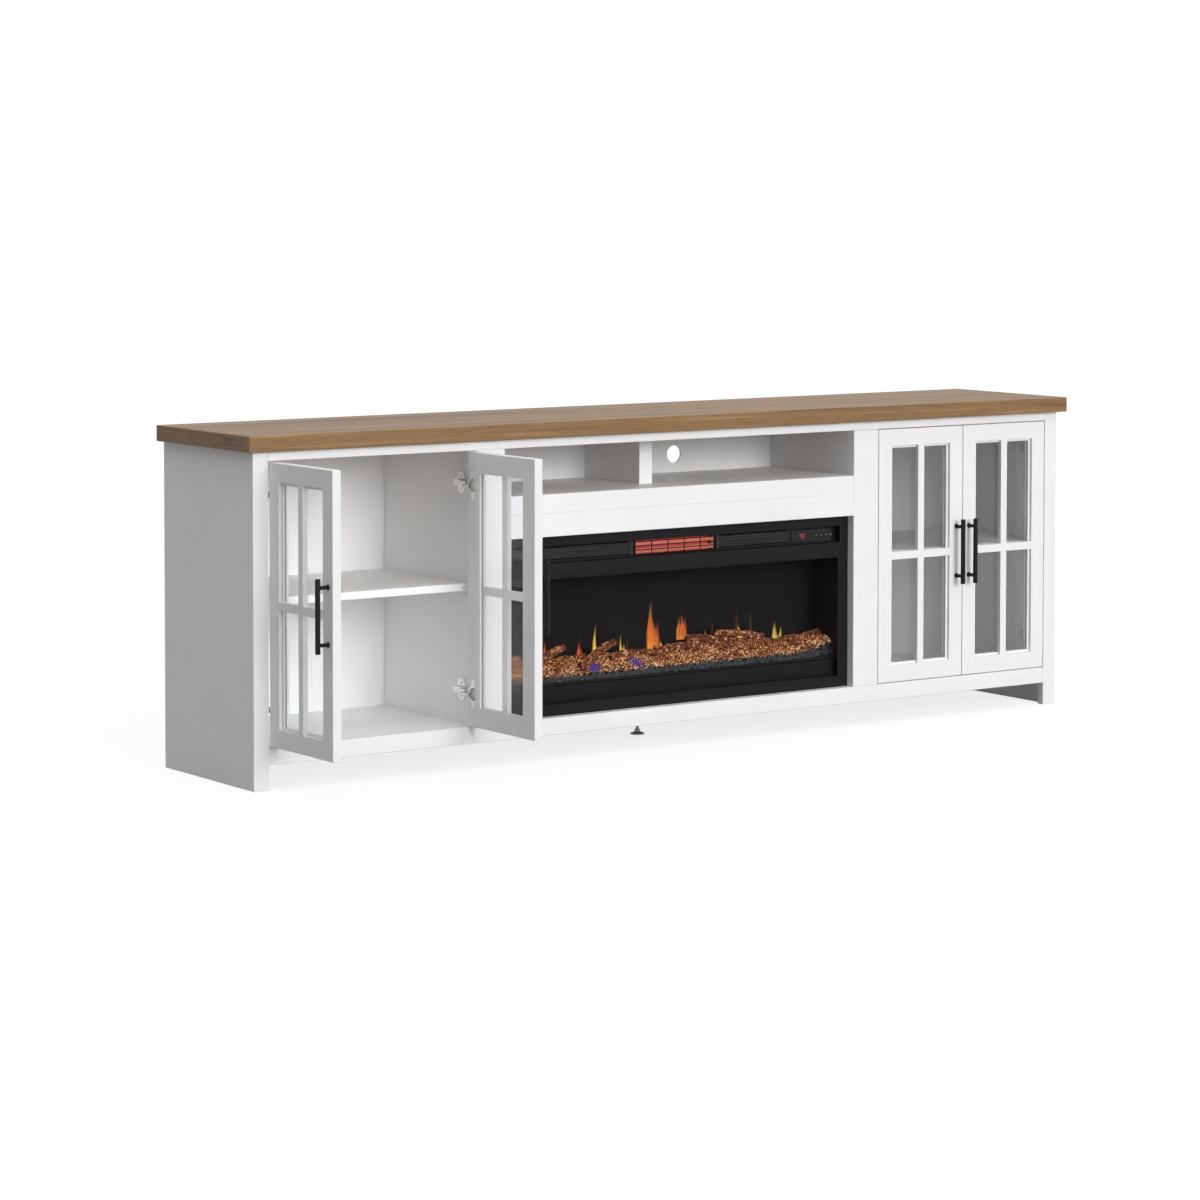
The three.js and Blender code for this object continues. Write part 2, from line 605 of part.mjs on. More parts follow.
// Back of the media bay with its round cable hole; it covers the back edge of the shelf
const cableHoleZ = mediaFloor + media.holeHeight;
const cableHole = rod(media.holeRadius, [media.holeX, mediaBackFront - cut.overrun, cableHoleZ],
  [media.holeX, mediaBackRear + cut.overrun, cableHoleZ], 28);
cabinet.add(mesh('media_back_panel', toGeometry(cutAll(toSolid(board(
  [boards.seam - centreHalf, mediaBackFront, mediaFloor - boards.shelf],
  [centreHalf - boards.seam, mediaBackRear, underSlab],
)), [cableHole])), finishes.paint));

// Levelling foot under the middle of the floor board
const footProfile = [
  [0, 0],
  [foot.padRadius, 0],
  [foot.padRadius, foot.rimHeight],
  [foot.neckRadius, foot.padHeight],
  [foot.neckRadius, foot.neckHeight],
  [foot.stemRadius, foot.neckHeight],
  [foot.stemRadius, floorBottom + foot.engaged],
  [0, floorBottom + foot.engaged],
].map(([radius, height]) => new THREE.Vector2(radius, height));
cabinet.add(mesh('centre_foot',
  new THREE.LatheGeometry(footProfile, 16).rotateX(Math.PI / 2), finishes.footGrey));

// The doors and the links of their hinges, each set at its hinge corner and turned to its rest
for (const [name, { sign, x, open }] of Object.entries(doorSet)) {
  const angle = open ? -sign * door.openAngle : 0;
  const leaf = new THREE.Group();
  leaf.position.set(x, frontY, doorBottom);
  leaf.rotation.z = angle;
  leaf.add(mesh(`${name}_door_frame`, doorFrame(sign), finishes.paint));
  leaf.add(mesh(`${name}_door_glass`, doorGlass(sign), finishes.glass));
  leaf.add(mesh(`${name}_door_pull`, doorPull(sign), finishes.blackMetal));
  cabinet.add(leaf);
  const linkage = new THREE.Group();
  linkage.position.copy(leaf.position);
  linkage.rotation.z = angle / 2;
  ['lower', 'upper'].forEach((level, index) => {
    linkage.add(mesh(`${name}_${level}_hinge_link`, hingeLink(sign, hingeHeights[index]), finishes.nickel));
  });
  cabinet.add(linkage);
}

// Electric fire: the front sheet stands just behind the face frame
const fireFront = frameBackY + fire.setback;
const fireBottom = floorTop + fire.edgeGap;
const fireTop = headerBottom - fire.edgeGap;
const fireHalf = centreHalf - fire.edgeGap;
const sheetBack = fireFront + fire.sheet;
const recessBack = fireFront + fire.recessDepth;
const recessFace = recessBack - fire.sheet;
const recessHalf = centreHalf - fire.recessSide;
const recessTop = headerBottom - fire.recessDrop;
const recessBottom = recessTop - fire.recessHeight;
const featureTop = recessTop - fire.featureDrop;
const heaterBottom = featureTop - fire.heaterHeight;
const louvreBottom = featureTop - fire.louvreHeight;
const panelRight = recessHalf - panel.side;
const panelLeft = panelRight - panel.width;
const panelTop = recessTop - panel.drop;
const panelBottom = panelTop - panel.height;
const windowHalf = centreHalf - fire.windowSide;
const glassHalf = windowHalf + fire.glassOverlap;
const windowBottom = floorTop + fire.windowRise;
const windowTop = recessBottom - fire.windowDrop;
const louvres = [
  [fire.louvreSide - recessHalf, -fire.heaterHalf - fire.louvreHeaterGap],
  [fire.heaterHalf + fire.louvreHeaterGap, panelLeft - fire.louvrePanelGap],
];

// Slanted slats between two edges, with upright ribs behind them
function louvre(x0, x1) {
  const height = featureTop - louvreBottom;
  const count = Math.floor(height / fire.slatPitch);
  const first = louvreBottom + (height - (count - 1) * fire.slatPitch) / 2;
  const dy = fire.slatDepth * Math.cos(fire.slatTilt) / 2;
  const dz = fire.slatDepth * Math.sin(fire.slatTilt) / 2;
  const middle = (recessFace + recessBack) / 2;
  const thick = fire.slatThickness / 2;
  const slats = Array.from({ length: count }, (_, index) => {
    const z = first + index * fire.slatPitch;
    const outline = new THREE.Shape([
      [middle - dy, z - dz - thick], [middle + dy, z + dz - thick],
      [middle + dy, z + dz + thick], [middle - dy, z - dz + thick],
    ].map((corner) => new THREE.Vector2(...corner)));
    return plateYZ(outline, x0 - fire.slatBite, x1 + fire.slatBite);
  });
  const gaps = Math.max(2, Math.round((x1 - x0) / fire.slatRibEvery));
  const ribs = Array.from({ length: gaps - 1 }, (_, index) => {
    const x = x0 + (x1 - x0) * (index + 1) / gaps;
    return block([x - fire.ribWidth / 2, middle, louvreBottom - fire.slatBite],
      [x + fire.ribWidth / 2, recessBack, featureTop + fire.slatBite]);
  });
  return [...slats, ...ribs];
}

function fasciaSolid() {
  const through = (x0, x1, z0, z1, y0, y1) => block([x0, y0, z0], [x1, y1, z1]);
  const sheet = plateXZ(rectangle(-fireHalf, fireHalf, fireBottom, fireTop), fireFront, sheetBack);
  const tray = through(-recessHalf - fire.sheet, recessHalf + fire.sheet,
    recessBottom - fire.sheet, recessTop + fire.sheet, sheetBack - fire.sheet / 2, recessBack);
  const cuts = [
    through(-recessHalf, recessHalf, recessBottom, recessTop,
      fireFront - cut.overrun, recessFace),
    through(-windowHalf, windowHalf, windowBottom, windowTop,
      fireFront - cut.overrun, sheetBack + cut.overrun),
    through(-fire.heaterHalf, fire.heaterHalf, heaterBottom, featureTop,
      recessFace - cut.overrun, recessBack + cut.overrun),
    ...louvres.map(([x0, x1]) => through(x0, x1, louvreBottom, featureTop,
      recessFace - cut.overrun, recessBack + cut.overrun)),
    through(panelLeft, panelRight, panelBottom, panelTop,
      recessFace - cut.overrun, recessBack + cut.overrun),
  ];
  const shell = cutAll(toSolid(sheet).add(toSolid(tray)), cuts);
  return louvres.flatMap(([x0, x1]) => louvre(x0, x1))
    .reduce((whole, slat) => whole.add(toSolid(slat)), shell);
}
cabinet.add(mesh('insert_fascia', toGeometry(fasciaSolid()), finishes.fireBlack));
cabinet.add(mesh('insert_glass', board(
  [-glassHalf, fireFront - boards.seam - fire.glass, windowBottom - fire.glassOverlap],
  [glassHalf, fireFront - boards.seam, windowTop + fire.glassOverlap], fire.glassEase,
), finishes.darkGlass));

// Two quartz tubes held in a ceramic block at each end, behind a guard of round wire whose
// uprights are welded across the front of its rows
const heaterMiddle = (heaterBottom + featureTop) / 2;
const tubeY = recessBack + heater.gap + heater.blockDepth / 2;
const blockInner = fire.heaterHalf + heater.gap;
const heaterParts = [-1, 1].map((sign) => {
  const [x0, x1] = spanX(sign, blockInner, blockInner + heater.blockLength);
  return board([x0, recessBack + heater.gap, heaterMiddle - heater.blockHeight / 2],
    [x1, recessBack + heater.gap + heater.blockDepth, heaterMiddle + heater.blockHeight / 2]);
});
for (const side of [-1, 1]) {
  const z = heaterMiddle + side * heater.tubeSpacing / 2;
  heaterParts.push(rod(heater.tubeRadius, [-blockInner - heater.blockLength / 2, tubeY, z],
    [blockInner + heater.blockLength / 2, tubeY, z], 10));
}
cabinet.add(mesh('heater_elements', toGeometry(join(heaterParts)), finishes.quartz));

const guardY = recessFace - heater.wireRadius - heater.gap;
const guardFrontY = guardY - 2 * heater.wireRadius + heater.wireBite;
const guardHalf = fire.heaterHalf + heater.wireInset;
const guardLow = heaterBottom + heater.wireInset;
const guardHigh = featureTop - heater.wireInset;
const guardWires = [];
const guardRows = heater.wireRows + 1;
for (let row = 0; row <= guardRows; row += 1) {
  const z = guardLow + (guardHigh - guardLow) * row / guardRows;
  guardWires.push(rod(heater.wireRadius, [-guardHalf, guardY, z], [guardHalf, guardY, z], 6));
}
const guardBays = Math.round(2 * guardHalf / heater.wirePitch);
for (let bay = 0; bay <= guardBays; bay += 1) {
  const x = guardHalf * (2 * bay / guardBays - 1);
  guardWires.push(rod(heater.wireRadius, [x, guardFrontY, guardLow - heater.wireRadius],
    [x, guardFrontY, guardHigh + heater.wireRadius], 6));
}
cabinet.add(mesh('heater_guard', toGeometry(join(guardWires)), finishes.blackMetal));

// Control panel with four push buttons in its right half
const panelFront = recessFace - panel.proud;
const panelMiddle = (panelBottom + panelTop) / 2;
const buttonX = panel.buttons.map((_, index) => (
  panelRight - panel.lastButtonInset - (panel.buttons.length - 1 - index) * panel.buttonPitch
));
const panelCuts = buttonX.map((x) => block(
  [x - panel.buttonWidth / 2 - panel.buttonFit, panelFront - cut.overrun,
    panelMiddle - panel.buttonHeight / 2 - panel.buttonFit],
  [x + panel.buttonWidth / 2 + panel.buttonFit, recessBack + cut.overrun,
    panelMiddle + panel.buttonHeight / 2 + panel.buttonFit],
));
cabinet.add(mesh('control_panel', toGeometry(cutAll(toSolid(board(
  [panelLeft + panel.fit, panelFront, panelBottom + panel.fit],
  [panelRight - panel.fit, recessBack, panelTop - panel.fit], panel.ease,
)), panelCuts)), finishes.gloss));
panel.buttons.forEach((name, index) => {
  const x = buttonX[index];
  const front = panelFront - panel.buttonProud;
  cabinet.add(mesh(name, board(
    [x - panel.buttonWidth / 2, front, panelMiddle - panel.buttonHeight / 2],
    [x + panel.buttonWidth / 2, front + panel.buttonLength, panelMiddle + panel.buttonHeight / 2],
    panel.buttonEase,
  ), finishes.gloss));
});

// Housing: a sheet box open at the front, with a heater chamber over the firebox
const housingHalf = centreHalf - fire.housingGap;
const housingFront = sheetBack + boards.seam;
const housingBack = fireFront + fire.housingDepth;
const housingTop = headerBottom - fire.topGap;
const deckBottom = floorTop + hearth.deckRise;
const deckTop = deckBottom + hearth.deckThickness;
const deckFront = fireFront + hearth.deckFront;
const deckBack = deckFront + hearth.deckDepth;
const shelfZ = recessBottom - fire.sheet - fire.shelfDrop;
const spindleY = deckBack + spindle.behindScreen;
const spindleZ = floorTop + spindle.rise;
const screenTop = shelfZ - hearth.screenDrop;
const inletX = housingHalf - inlet.fromSide;
const inletZ = fireBottom + inlet.fromBottom;
const inletHalfWidth = inlet.width / 2 + inlet.wall;
const inletHalfHeight = inlet.height / 2 + inlet.wall;

function housingSolid() {
  const wall = fire.housingWall;
  const inner = housingHalf - wall;
  const body = block([-housingHalf, housingFront, fireBottom], [housingHalf, housingBack, housingTop]);
  const cavities = [
    block([-inner, housingFront - cut.overrun, fireBottom + wall], [inner, housingBack - wall, shelfZ]),
    block([-inner, housingFront - cut.overrun, shelfZ + wall],
      [inner, housingBack - wall, housingTop - wall]),
  ];
  const slots = Array.from({ length: vents.count }, (_, index) => {
    const z = floorTop + vents.rise + (index - (vents.count - 1) / 2) * vents.pitch;
    return block([-vents.width, housingBack - wall - cut.overrun, z - vents.height / 2],
      [vents.width, housingBack + cut.overrun, z + vents.height / 2]);
  });
  const bearings = rod(spindle.radius + spindle.holeGap,
    [-housingHalf - cut.overrun, spindleY, spindleZ],
    [housingHalf + cut.overrun, spindleY, spindleZ], 12);
  const holeHalfWidth = inletHalfWidth + inlet.fit;
  const holeHalfHeight = inletHalfHeight + inlet.fit;
  const inletHole = block(
    [inletX - holeHalfWidth, housingBack - wall - cut.overrun, inletZ - holeHalfHeight],
    [inletX + holeHalfWidth, housingBack + cut.overrun, inletZ + holeHalfHeight],
  );
  return cutAll(toSolid(body), [...cavities, ...slots, bearings, inletHole]);
}
cabinet.add(mesh('insert_housing', toGeometry(housingSolid()), finishes.fireBlack));

// Ember tray: a sheet deck on a front wall that stands on the housing's floor
const screenHalf = housingHalf - fire.housingWall - boards.seam;
const trayBottom = fireBottom + fire.housingWall + boards.seam;
const trayOutline = new THREE.Shape([
  [deckFront, trayBottom], [deckFront + hearth.deckThickness, trayBottom],
  [deckFront + hearth.deckThickness, deckBottom], [deckBack, deckBottom],
  [deckBack, deckTop], [deckFront, deckTop],
].map(([y, z]) => new THREE.Vector2(y, z)));
cabinet.add(mesh('ember_tray', plateYZ(trayOutline, -screenHalf, screenHalf), finishes.fireBlack));

// Mains inlet: a flanged cup let into the back of the housing, with its three blades
function inletSolid() {
  const centred = (halfWidth, halfHeight, y0, y1) => toSolid(block(
    [inletX - halfWidth, y0, inletZ - halfHeight], [inletX + halfWidth, y1, inletZ + halfHeight],
  ));
  const seat = housingBack + inlet.fit;
  const mouth = seat + inlet.wall;
  const cupBack = mouth - inlet.depth - inlet.wall;
  const cup = centred(inletHalfWidth, inletHalfHeight, cupBack, mouth)
    .add(centred(inletHalfWidth + inlet.flange, inletHalfHeight + inlet.flange, seat, mouth))
    .subtract(centred(inlet.width / 2, inlet.height / 2, mouth - inlet.depth, mouth + cut.overrun));
  return [-1, 0, 1].reduce((whole, side) => {
    const x = inletX + side * inlet.width / 4;
    return whole.add(toSolid(rod(inlet.pinRadius, [x, mouth - inlet.depth - inlet.wall / 2, inletZ],
      [x, mouth - inlet.pinShort, inletZ], 8)));
  }, cup);
}
cabinet.add(mesh('power_inlet', toGeometry(inletSolid()), finishes.gloss));

// Flame screen at the back of the ember deck
cabinet.add(mesh('flame_screen', block(
  [-screenHalf, deckBack - hearth.screenFromBed - hearth.screenThickness, deckTop + boards.seam],
  [screenHalf, deckBack - hearth.screenFromBed, screenTop],
), finishes.screen));

// Logs: bent, tapered rounds. Each row holds shares of the bed's half length, depth and rise.
const logShares = [
  { from: [-0.80, 0.30, 0.75], to: [-0.55, 0.62, 1.95], radii: [0.52, 0.36], bend: 0.25 },
  { from: [-0.60, 0.70, 0.95], to: [-0.36, 0.55, 1.2], radii: [0.34, 0.42], bend: -0.15 },
  { from: [-0.46, 0.32, 0.8], to: [-0.25, 0.70, 2.0], radii: [0.50, 0.34], bend: 0.3 },
  { from: [-0.10, 0.50, 1.1], to: [0.26, 0.62, 1.35], radii: [0.44, 0.40], bend: 0.35 },
  { from: [0.20, 0.28, 0.85], to: [0.44, 0.74, 1.9], radii: [0.50, 0.36], bend: -0.25 },
  { from: [0.40, 0.64, 1.1], to: [0.74, 0.50, 1.05], radii: [0.42, 0.46], bend: 0.2 },
  { from: [0.72, 0.36, 0.9], to: [0.99, 0.66, 1.75], radii: [0.46, 0.36], bend: 0.3 },
];
const bedBack = deckBack - hearth.screenFromBed - hearth.screenThickness - hearth.bedGap;
const bedFront = bedBack - hearth.bedDepth;
const bedBase = deckTop + hearth.bedGap;
const bedHalf = screenHalf - hearth.bedSide;

function logGeometry({ from, to, radii, bend }) {
  const place = ([along, deep, up]) => new THREE.Vector3(
    along * bedHalf, bedFront + deep * hearth.bedDepth, bedBase + up * hearth.bedRise,
  );
  const start = place(from);
  const end = place(to);
  const middle = start.clone().add(end).multiplyScalar(1 / 2);
  middle.z += bend * hearth.bedRise;
  const path = new THREE.QuadraticBezierCurve3(start, middle, end);
  const positions = [];
  const ring = (share) => {
    const centrePoint = path.getPoint(share);
    const along = path.getTangent(share);
    const sideways = new THREE.Vector3().crossVectors(along, new THREE.Vector3(0, 0, 1)).normalize();
    const upward = new THREE.Vector3().crossVectors(sideways, along);
    const radius = THREE.MathUtils.lerp(radii[0], radii[1], share) * hearth.bedRise;
    return Array.from({ length: hearth.logSides }, (_, index) => {
      const turn = 2 * Math.PI * index / hearth.logSides;
      const knots = 1 + Math.sin(3 * turn + 5 * share) / 16;
      return centrePoint.clone()
        .addScaledVector(sideways, radius * knots * Math.cos(turn))
        .addScaledVector(upward, radius * knots * Math.sin(turn));
    });
  };
  const rings = Array.from({ length: hearth.logRings + 1 }, (_, index) => ring(index / hearth.logRings));
  const face = (...corners) => corners.forEach((corner) => positions.push(corner.x, corner.y, corner.z));
  for (let index = 0; index < hearth.logSides; index += 1) {
    const next = (index + 1) % hearth.logSides;
    face(start, rings[0][index], rings[0][next]);
    face(end, rings[hearth.logRings][next], rings[hearth.logRings][index]);
    for (let row = 0; row < hearth.logRings; row += 1) {
      face(rings[row][index], rings[row + 1][index], rings[row + 1][next]);
      face(rings[row][index], rings[row + 1][next], rings[row][next]);
    }
  }
  const geometry = new THREE.BufferGeometry();
  geometry.setAttribute('position', new THREE.Float32BufferAttribute(positions, 3));
  return geometry;
}

// Ember bed: a bank of coals with an uneven top, moulded in one with the logs that lie in it
function emberBed() {
  const columns = hearth.bedColumns;
  const rows = hearth.bedRows;
  const height = (column, row) => {
    const deep = row / rows;
    const bank = hearth.bedHeight + hearth.bedRise * Math.sin(deep * Math.PI / 2);
    const wave = Math.sin(column * 1.7 + row * 2.3) + Math.sin(column * 0.61 - row * 1.9)
      + Math.sin(column * 2.9 + row * 0.7);
    return bedBase + bank + hearth.bedLump * wave / 3;
  };
  const point = (column, row) => [
    bedHalf * (2 * column / columns - 1), bedFront + hearth.bedDepth * row / rows, height(column, row),
  ];
  const floorPoint = (column, row) => [...point(column, row).slice(0, 2), bedBase];
  const positions = [];
  const face = (...corners) => corners.forEach((corner) => positions.push(...corner));
  const quad = (a, b, c, d) => {
    face(a, b, c);
    face(a, c, d);
  };
  for (let column = 0; column < columns; column += 1) {
    for (let row = 0; row < rows; row += 1) {
      quad(point(column, row), point(column + 1, row), point(column + 1, row + 1), point(column, row + 1));
      quad(floorPoint(column, row), floorPoint(column, row + 1),
        floorPoint(column + 1, row + 1), floorPoint(column + 1, row));
    }
    quad(floorPoint(column, 0), floorPoint(column + 1, 0), point(column + 1, 0), point(column, 0));
    quad(floorPoint(column + 1, rows), floorPoint(column, rows), point(column, rows),
      point(column + 1, rows));
  }
  for (let row = 0; row < rows; row += 1) {
    quad(floorPoint(0, row + 1), floorPoint(0, row), point(0, row), point(0, row + 1));
    quad(floorPoint(columns, row), floorPoint(columns, row + 1), point(columns, row + 1),
      point(columns, row));
  }
  const geometry = new THREE.BufferGeometry();
  geometry.setAttribute('position', new THREE.Float32BufferAttribute(positions, 3));
  return logShares.reduce((bed, log) => bed.add(toSolid(logGeometry(log))), toSolid(geometry));
}
cabinet.add(mesh('ember_bed', toGeometry(emberBed()), finishes.ember));

// Flicker spindle behind the screen, with bright vanes that throw light on it
function spindleSolid() {
  const end = housingHalf - spindle.endGap;
  const shaft = rod(spindle.radius, [-end, spindleY, spindleZ], [end, spindleY, spindleZ], 8);
  const run = 2 * (housingHalf - fire.housingWall) - spindle.vaneLength;
  const vanes = Array.from({ length: spindle.vanes }, (_, index) => {
    const x = run * ((index + 1 / 2) / spindle.vanes - 1 / 2);
    const turn = index * Math.PI * (3 - Math.sqrt(5));
    return block([x - spindle.vaneLength / 2, -spindle.vaneReach, -spindle.vaneThickness / 2],
      [x + spindle.vaneLength / 2, spindle.vaneReach, spindle.vaneThickness / 2])
      .rotateX(turn)
      .translate(0, spindleY, spindleZ);
  });
  return join([shaft, ...vanes]);
}
cabinet.add(mesh('flame_spindle', toGeometry(spindleSolid()), finishes.nickel));

export default cabinet;
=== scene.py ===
"""Looks of a long media cabinet with glazed doors and a built-in electric fire.

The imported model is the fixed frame: every board, door and metal part keeps its place and shape.
This script dresses it, and adds the pieces whose form is finer than the solids: the bar pulls, the
bed of embers with its logs and flames, the heater, the lit display and the marks on its buttons.
X runs along the width, the front faces -Y, Z is up, and lengths are in metres.
"""

import json
import logging
import math
import random
from collections.abc import Callable
from dataclasses import dataclass, field
from enum import Enum
from typing import Any

import bmesh
import bpy
from mathutils import Matrix, Vector, noise


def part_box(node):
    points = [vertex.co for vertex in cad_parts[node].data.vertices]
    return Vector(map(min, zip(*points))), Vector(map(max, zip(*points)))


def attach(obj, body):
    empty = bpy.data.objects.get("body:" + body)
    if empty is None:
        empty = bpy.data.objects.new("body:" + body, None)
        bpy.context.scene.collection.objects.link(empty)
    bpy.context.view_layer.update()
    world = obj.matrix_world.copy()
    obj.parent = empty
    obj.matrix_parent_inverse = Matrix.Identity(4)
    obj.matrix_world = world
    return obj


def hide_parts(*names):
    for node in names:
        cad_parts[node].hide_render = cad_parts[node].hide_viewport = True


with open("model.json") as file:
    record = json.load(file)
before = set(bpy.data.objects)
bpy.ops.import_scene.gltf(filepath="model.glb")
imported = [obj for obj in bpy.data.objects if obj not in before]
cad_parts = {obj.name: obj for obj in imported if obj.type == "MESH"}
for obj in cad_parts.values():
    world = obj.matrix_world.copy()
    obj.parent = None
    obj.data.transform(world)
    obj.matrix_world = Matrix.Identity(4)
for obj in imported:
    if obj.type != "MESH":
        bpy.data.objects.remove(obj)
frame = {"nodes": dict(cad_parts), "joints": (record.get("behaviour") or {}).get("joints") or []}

Colour = tuple[float, float, float]
Point = tuple[float, float, float]
Material = bpy.types.Material
Socket = bpy.types.NodeSocket
Shape = bmesh.types.BMesh
Placer = Callable[[Vector], Vector]

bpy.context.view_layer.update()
MM = 0.001
WELD = 1e-6
CREASE = math.radians(38)
NICKEL = (0.66, 0.65, 0.63)
NICKEL_ROUGHNESS = 0.27
STREAK_SCALE = (5, 260)
NOISE_RANGE = (0.3, 0.7)
SHEET_TEXTURE = (1500.0, 0.06 * MM, 0.10)
BUTTONS = ("power_button", "flame_button", "heat_button", "timer_button")
LOG = logging.getLogger("media_cabinet")


class Grain(Enum):
    """The way a board's grain runs."""

    UPRIGHT = "upright"
    ALONG = "along"


class Flicker(Enum):
    """The kinds of flame that the fire shows."""

    TALL = "tall"
    YELLOW = "yellow"
    RED = "red"
    PALE = "pale"


class Nodes:
    """Adds nodes to the tree of a material or of the world."""

    def __init__(self, tree: bpy.types.NodeTree) -> None:
        """Takes up a tree.

        Args:
            tree: The tree that the nodes go to.
        """
        self.tree = tree

    def node(self, kind: str, inputs: dict[Any, Any] | None = None,
             **settings: Any) -> bpy.types.Node:
        """Adds a node.

        Args:
            kind: The node's type, without its ShaderNode prefix.
            inputs: A value or a socket for each input, by its name or number.
            settings: The node's own options.

        Returns:
            The new node.
        """
        made = self.tree.nodes.new(f"ShaderNode{kind}")
        for key, value in settings.items():
            setattr(made, key, value)
        for key, value in (inputs or {}).items():
            self.feed(made.inputs[key], value)
        return made

    def feed(self, socket: Socket, value: Any) -> None:
        """Links a socket to another one, or sets its value.

        Args:
            socket: The input to fill.
            value: A socket, a number, or a tuple of numbers.
        """
        if isinstance(value, Socket):
            self.tree.links.new(value, socket)
        elif isinstance(value, tuple) and len(value) == 3 and socket.type == "RGBA":
            socket.default_value = (*value, 1.0)
        else:
            socket.default_value = value

    def coords(self, output: str = "Object") -> Socket:
        """Returns the object coordinates, or another kind of coordinates."""
        return self.node("TexCoord").outputs[output]

    def axes(self, output: str = "Object") -> bpy.types.NodeOutputs:
        """Returns the coordinates split into X, Y and Z."""
        return self.node("SeparateXYZ", {"Vector": self.coords(output)}).outputs

    def placed(self, scale: Point = (1, 1, 1), offset: Point = (0, 0, 0)) -> Socket:
        """Returns object coordinates that are stretched and moved."""
        inputs = {"Vector": self.coords(), "Scale": scale, "Location": offset}
        return self.node("Mapping", inputs).outputs[0]

    def streaks(self, grain: Grain) -> Socket:
        """Returns the long streaks of an embossed wood grain."""
        along, across = STREAK_SCALE
        return self.noise(self.placed(stretch(grain, along, across)), 1.0, 4.0, 0.6, 0.4)

    def noise(self, vector: Socket, scale: float, detail: float = 3.0,
              roughness: float = 0.55, distortion: float = 0.0) -> Socket:
        """Returns the factor of a noise texture."""
        made = self.node("TexNoise", {"Vector": vector, "Scale": scale, "Detail": detail,
                                      "Roughness": roughness, "Distortion": distortion})
        return made.outputs["Fac"]

    def cells(self, vector: Socket, scale: float) -> Socket:
        """Returns a chance number for each cell of a cell texture."""
        made = self.node("TexVoronoi", {"Vector": vector, "Scale": scale}, feature="F1")
        return self.node("SeparateColor", {"Color": made.outputs["Color"]}).outputs["Red"]

    def math(self, operation: str, *values: Any) -> Socket:
        """Returns the result of a sum on up to three values."""
        return self.node("Math", dict(enumerate(values)), operation=operation).outputs[0]

    def product(self, first: Any, *others: Any) -> Socket:
        """Returns the product of several values, taken in order."""
        for other in others:
            first = self.math("MULTIPLY", first, other)
        return first

    def spread(self, value: Socket, low: float, high: float,
               to_low: float = 0.0, to_high: float = 1.0) -> Socket:
        """Returns a value moved from one range to another and held inside it."""
        return self.node("MapRange", {"Value": value, "From Min": low, "From Max": high,
                                      "To Min": to_low, "To Max": to_high}).outputs["Result"]

    def vary(self, texture: Socket, to_low: float = 0.0, to_high: float = 1.0) -> Socket:
        """Returns a noise moved from the range that it mostly keeps to, to another one."""
        return self.spread(texture, *NOISE_RANGE, to_low, to_high)

    def ramp(self, factor: Socket, stops: dict[float, Colour]) -> Socket:
        """Returns a colour ramp.

        Args:
            factor: What runs along the ramp.
            stops: The colour at each place, in rising order.

        Returns:
            The ramp's colour.
        """
        made = self.node("ValToRGB", {"Fac": factor})
        elements = made.color_ramp.elements
        for place in list(stops)[2:]:
            elements.new(place)
        for element, (place, colour) in zip(elements, stops.items()):
            element.position = place
            element.color = (*colour, 1.0)
        return made.outputs["Color"]

    def mix(self, factor: Any, first: Any, second: Any) -> Socket:
        """Returns two colours mixed by a factor."""
        made = self.node("Mix", data_type="RGBA")
        sockets = {socket.identifier: socket for socket in made.inputs}
        self.feed(sockets["Factor_Float"], factor)
        self.feed(sockets["A_Color"], first)
        self.feed(sockets["B_Color"], second)
        return next(socket for socket in made.outputs if socket.identifier == "Result_Color")

    def seen(self) -> Socket:
        """Returns 1 for what the camera sees by itself, in a reflection or through a pane."""
        path = self.node("LightPath").outputs
        shiny = self.math("MAXIMUM", path["Is Glossy Ray"], path["Is Transmission Ray"])
        return self.math("MAXIMUM", path["Is Camera Ray"], shiny)


class Shader(Nodes):
    """Builds the nodes of one material around its main shader."""

    def __init__(self, name: str) -> None:
        """Starts an empty material.

        Args:
            name: The finish's name.
        """
        self.material = bpy.data.materials.new(name)
        self.material.use_nodes = True
        super().__init__(self.material.node_tree)
        self.main = self.tree.nodes["Principled BSDF"]

    def set(self, **values: Any) -> None:
        """Fills inputs of the main shader; an underscore stands for a space."""
        for key, value in values.items():
            self.feed(self.main.inputs[key.replace("_", " ")], value)

    def paint_or_nickel(self, paint: "SatinPaint", metal: Socket, roughness: float) -> None:
        """Sets the main shader to paint, and to bright nickel where a mask says so.

        Args:
            paint: The paint.
            metal: The mask, 1 on metal.
            roughness: How rough the paint is.
        """
        streaks = self.streaks(paint.grain)
        self.set(
            Base_Color=self.mix(metal, self.mix(streaks, paint.shade, paint.colour), NICKEL),
            Metallic=metal,
            Roughness=self.spread(metal, 0, 1, roughness, NICKEL_ROUGHNESS),
        )
        self.bump(streaks, paint.emboss, 0.25)

    def bump(self, height: Socket, distance: float, strength: float = 1.0) -> None:
        """Makes the surface rise and fall with a height.

        Args:
            height: The height, from 0 to 1.
            distance: How far the highest point stands out, in metres.
            strength: The share of the effect.
        """
        made = self.node("Bump", {"Height": height, "Distance": distance, "Strength": strength})
        self.set(Normal=made.outputs["Normal"])


def stretch(grain: Grain, along: float, across: float) -> Point:
    """Returns a scale that is fine across the grain and long along it."""
    return {
        Grain.UPRIGHT: (across, across, along),
        Grain.ALONG: (along, across, across),
    }[grain]


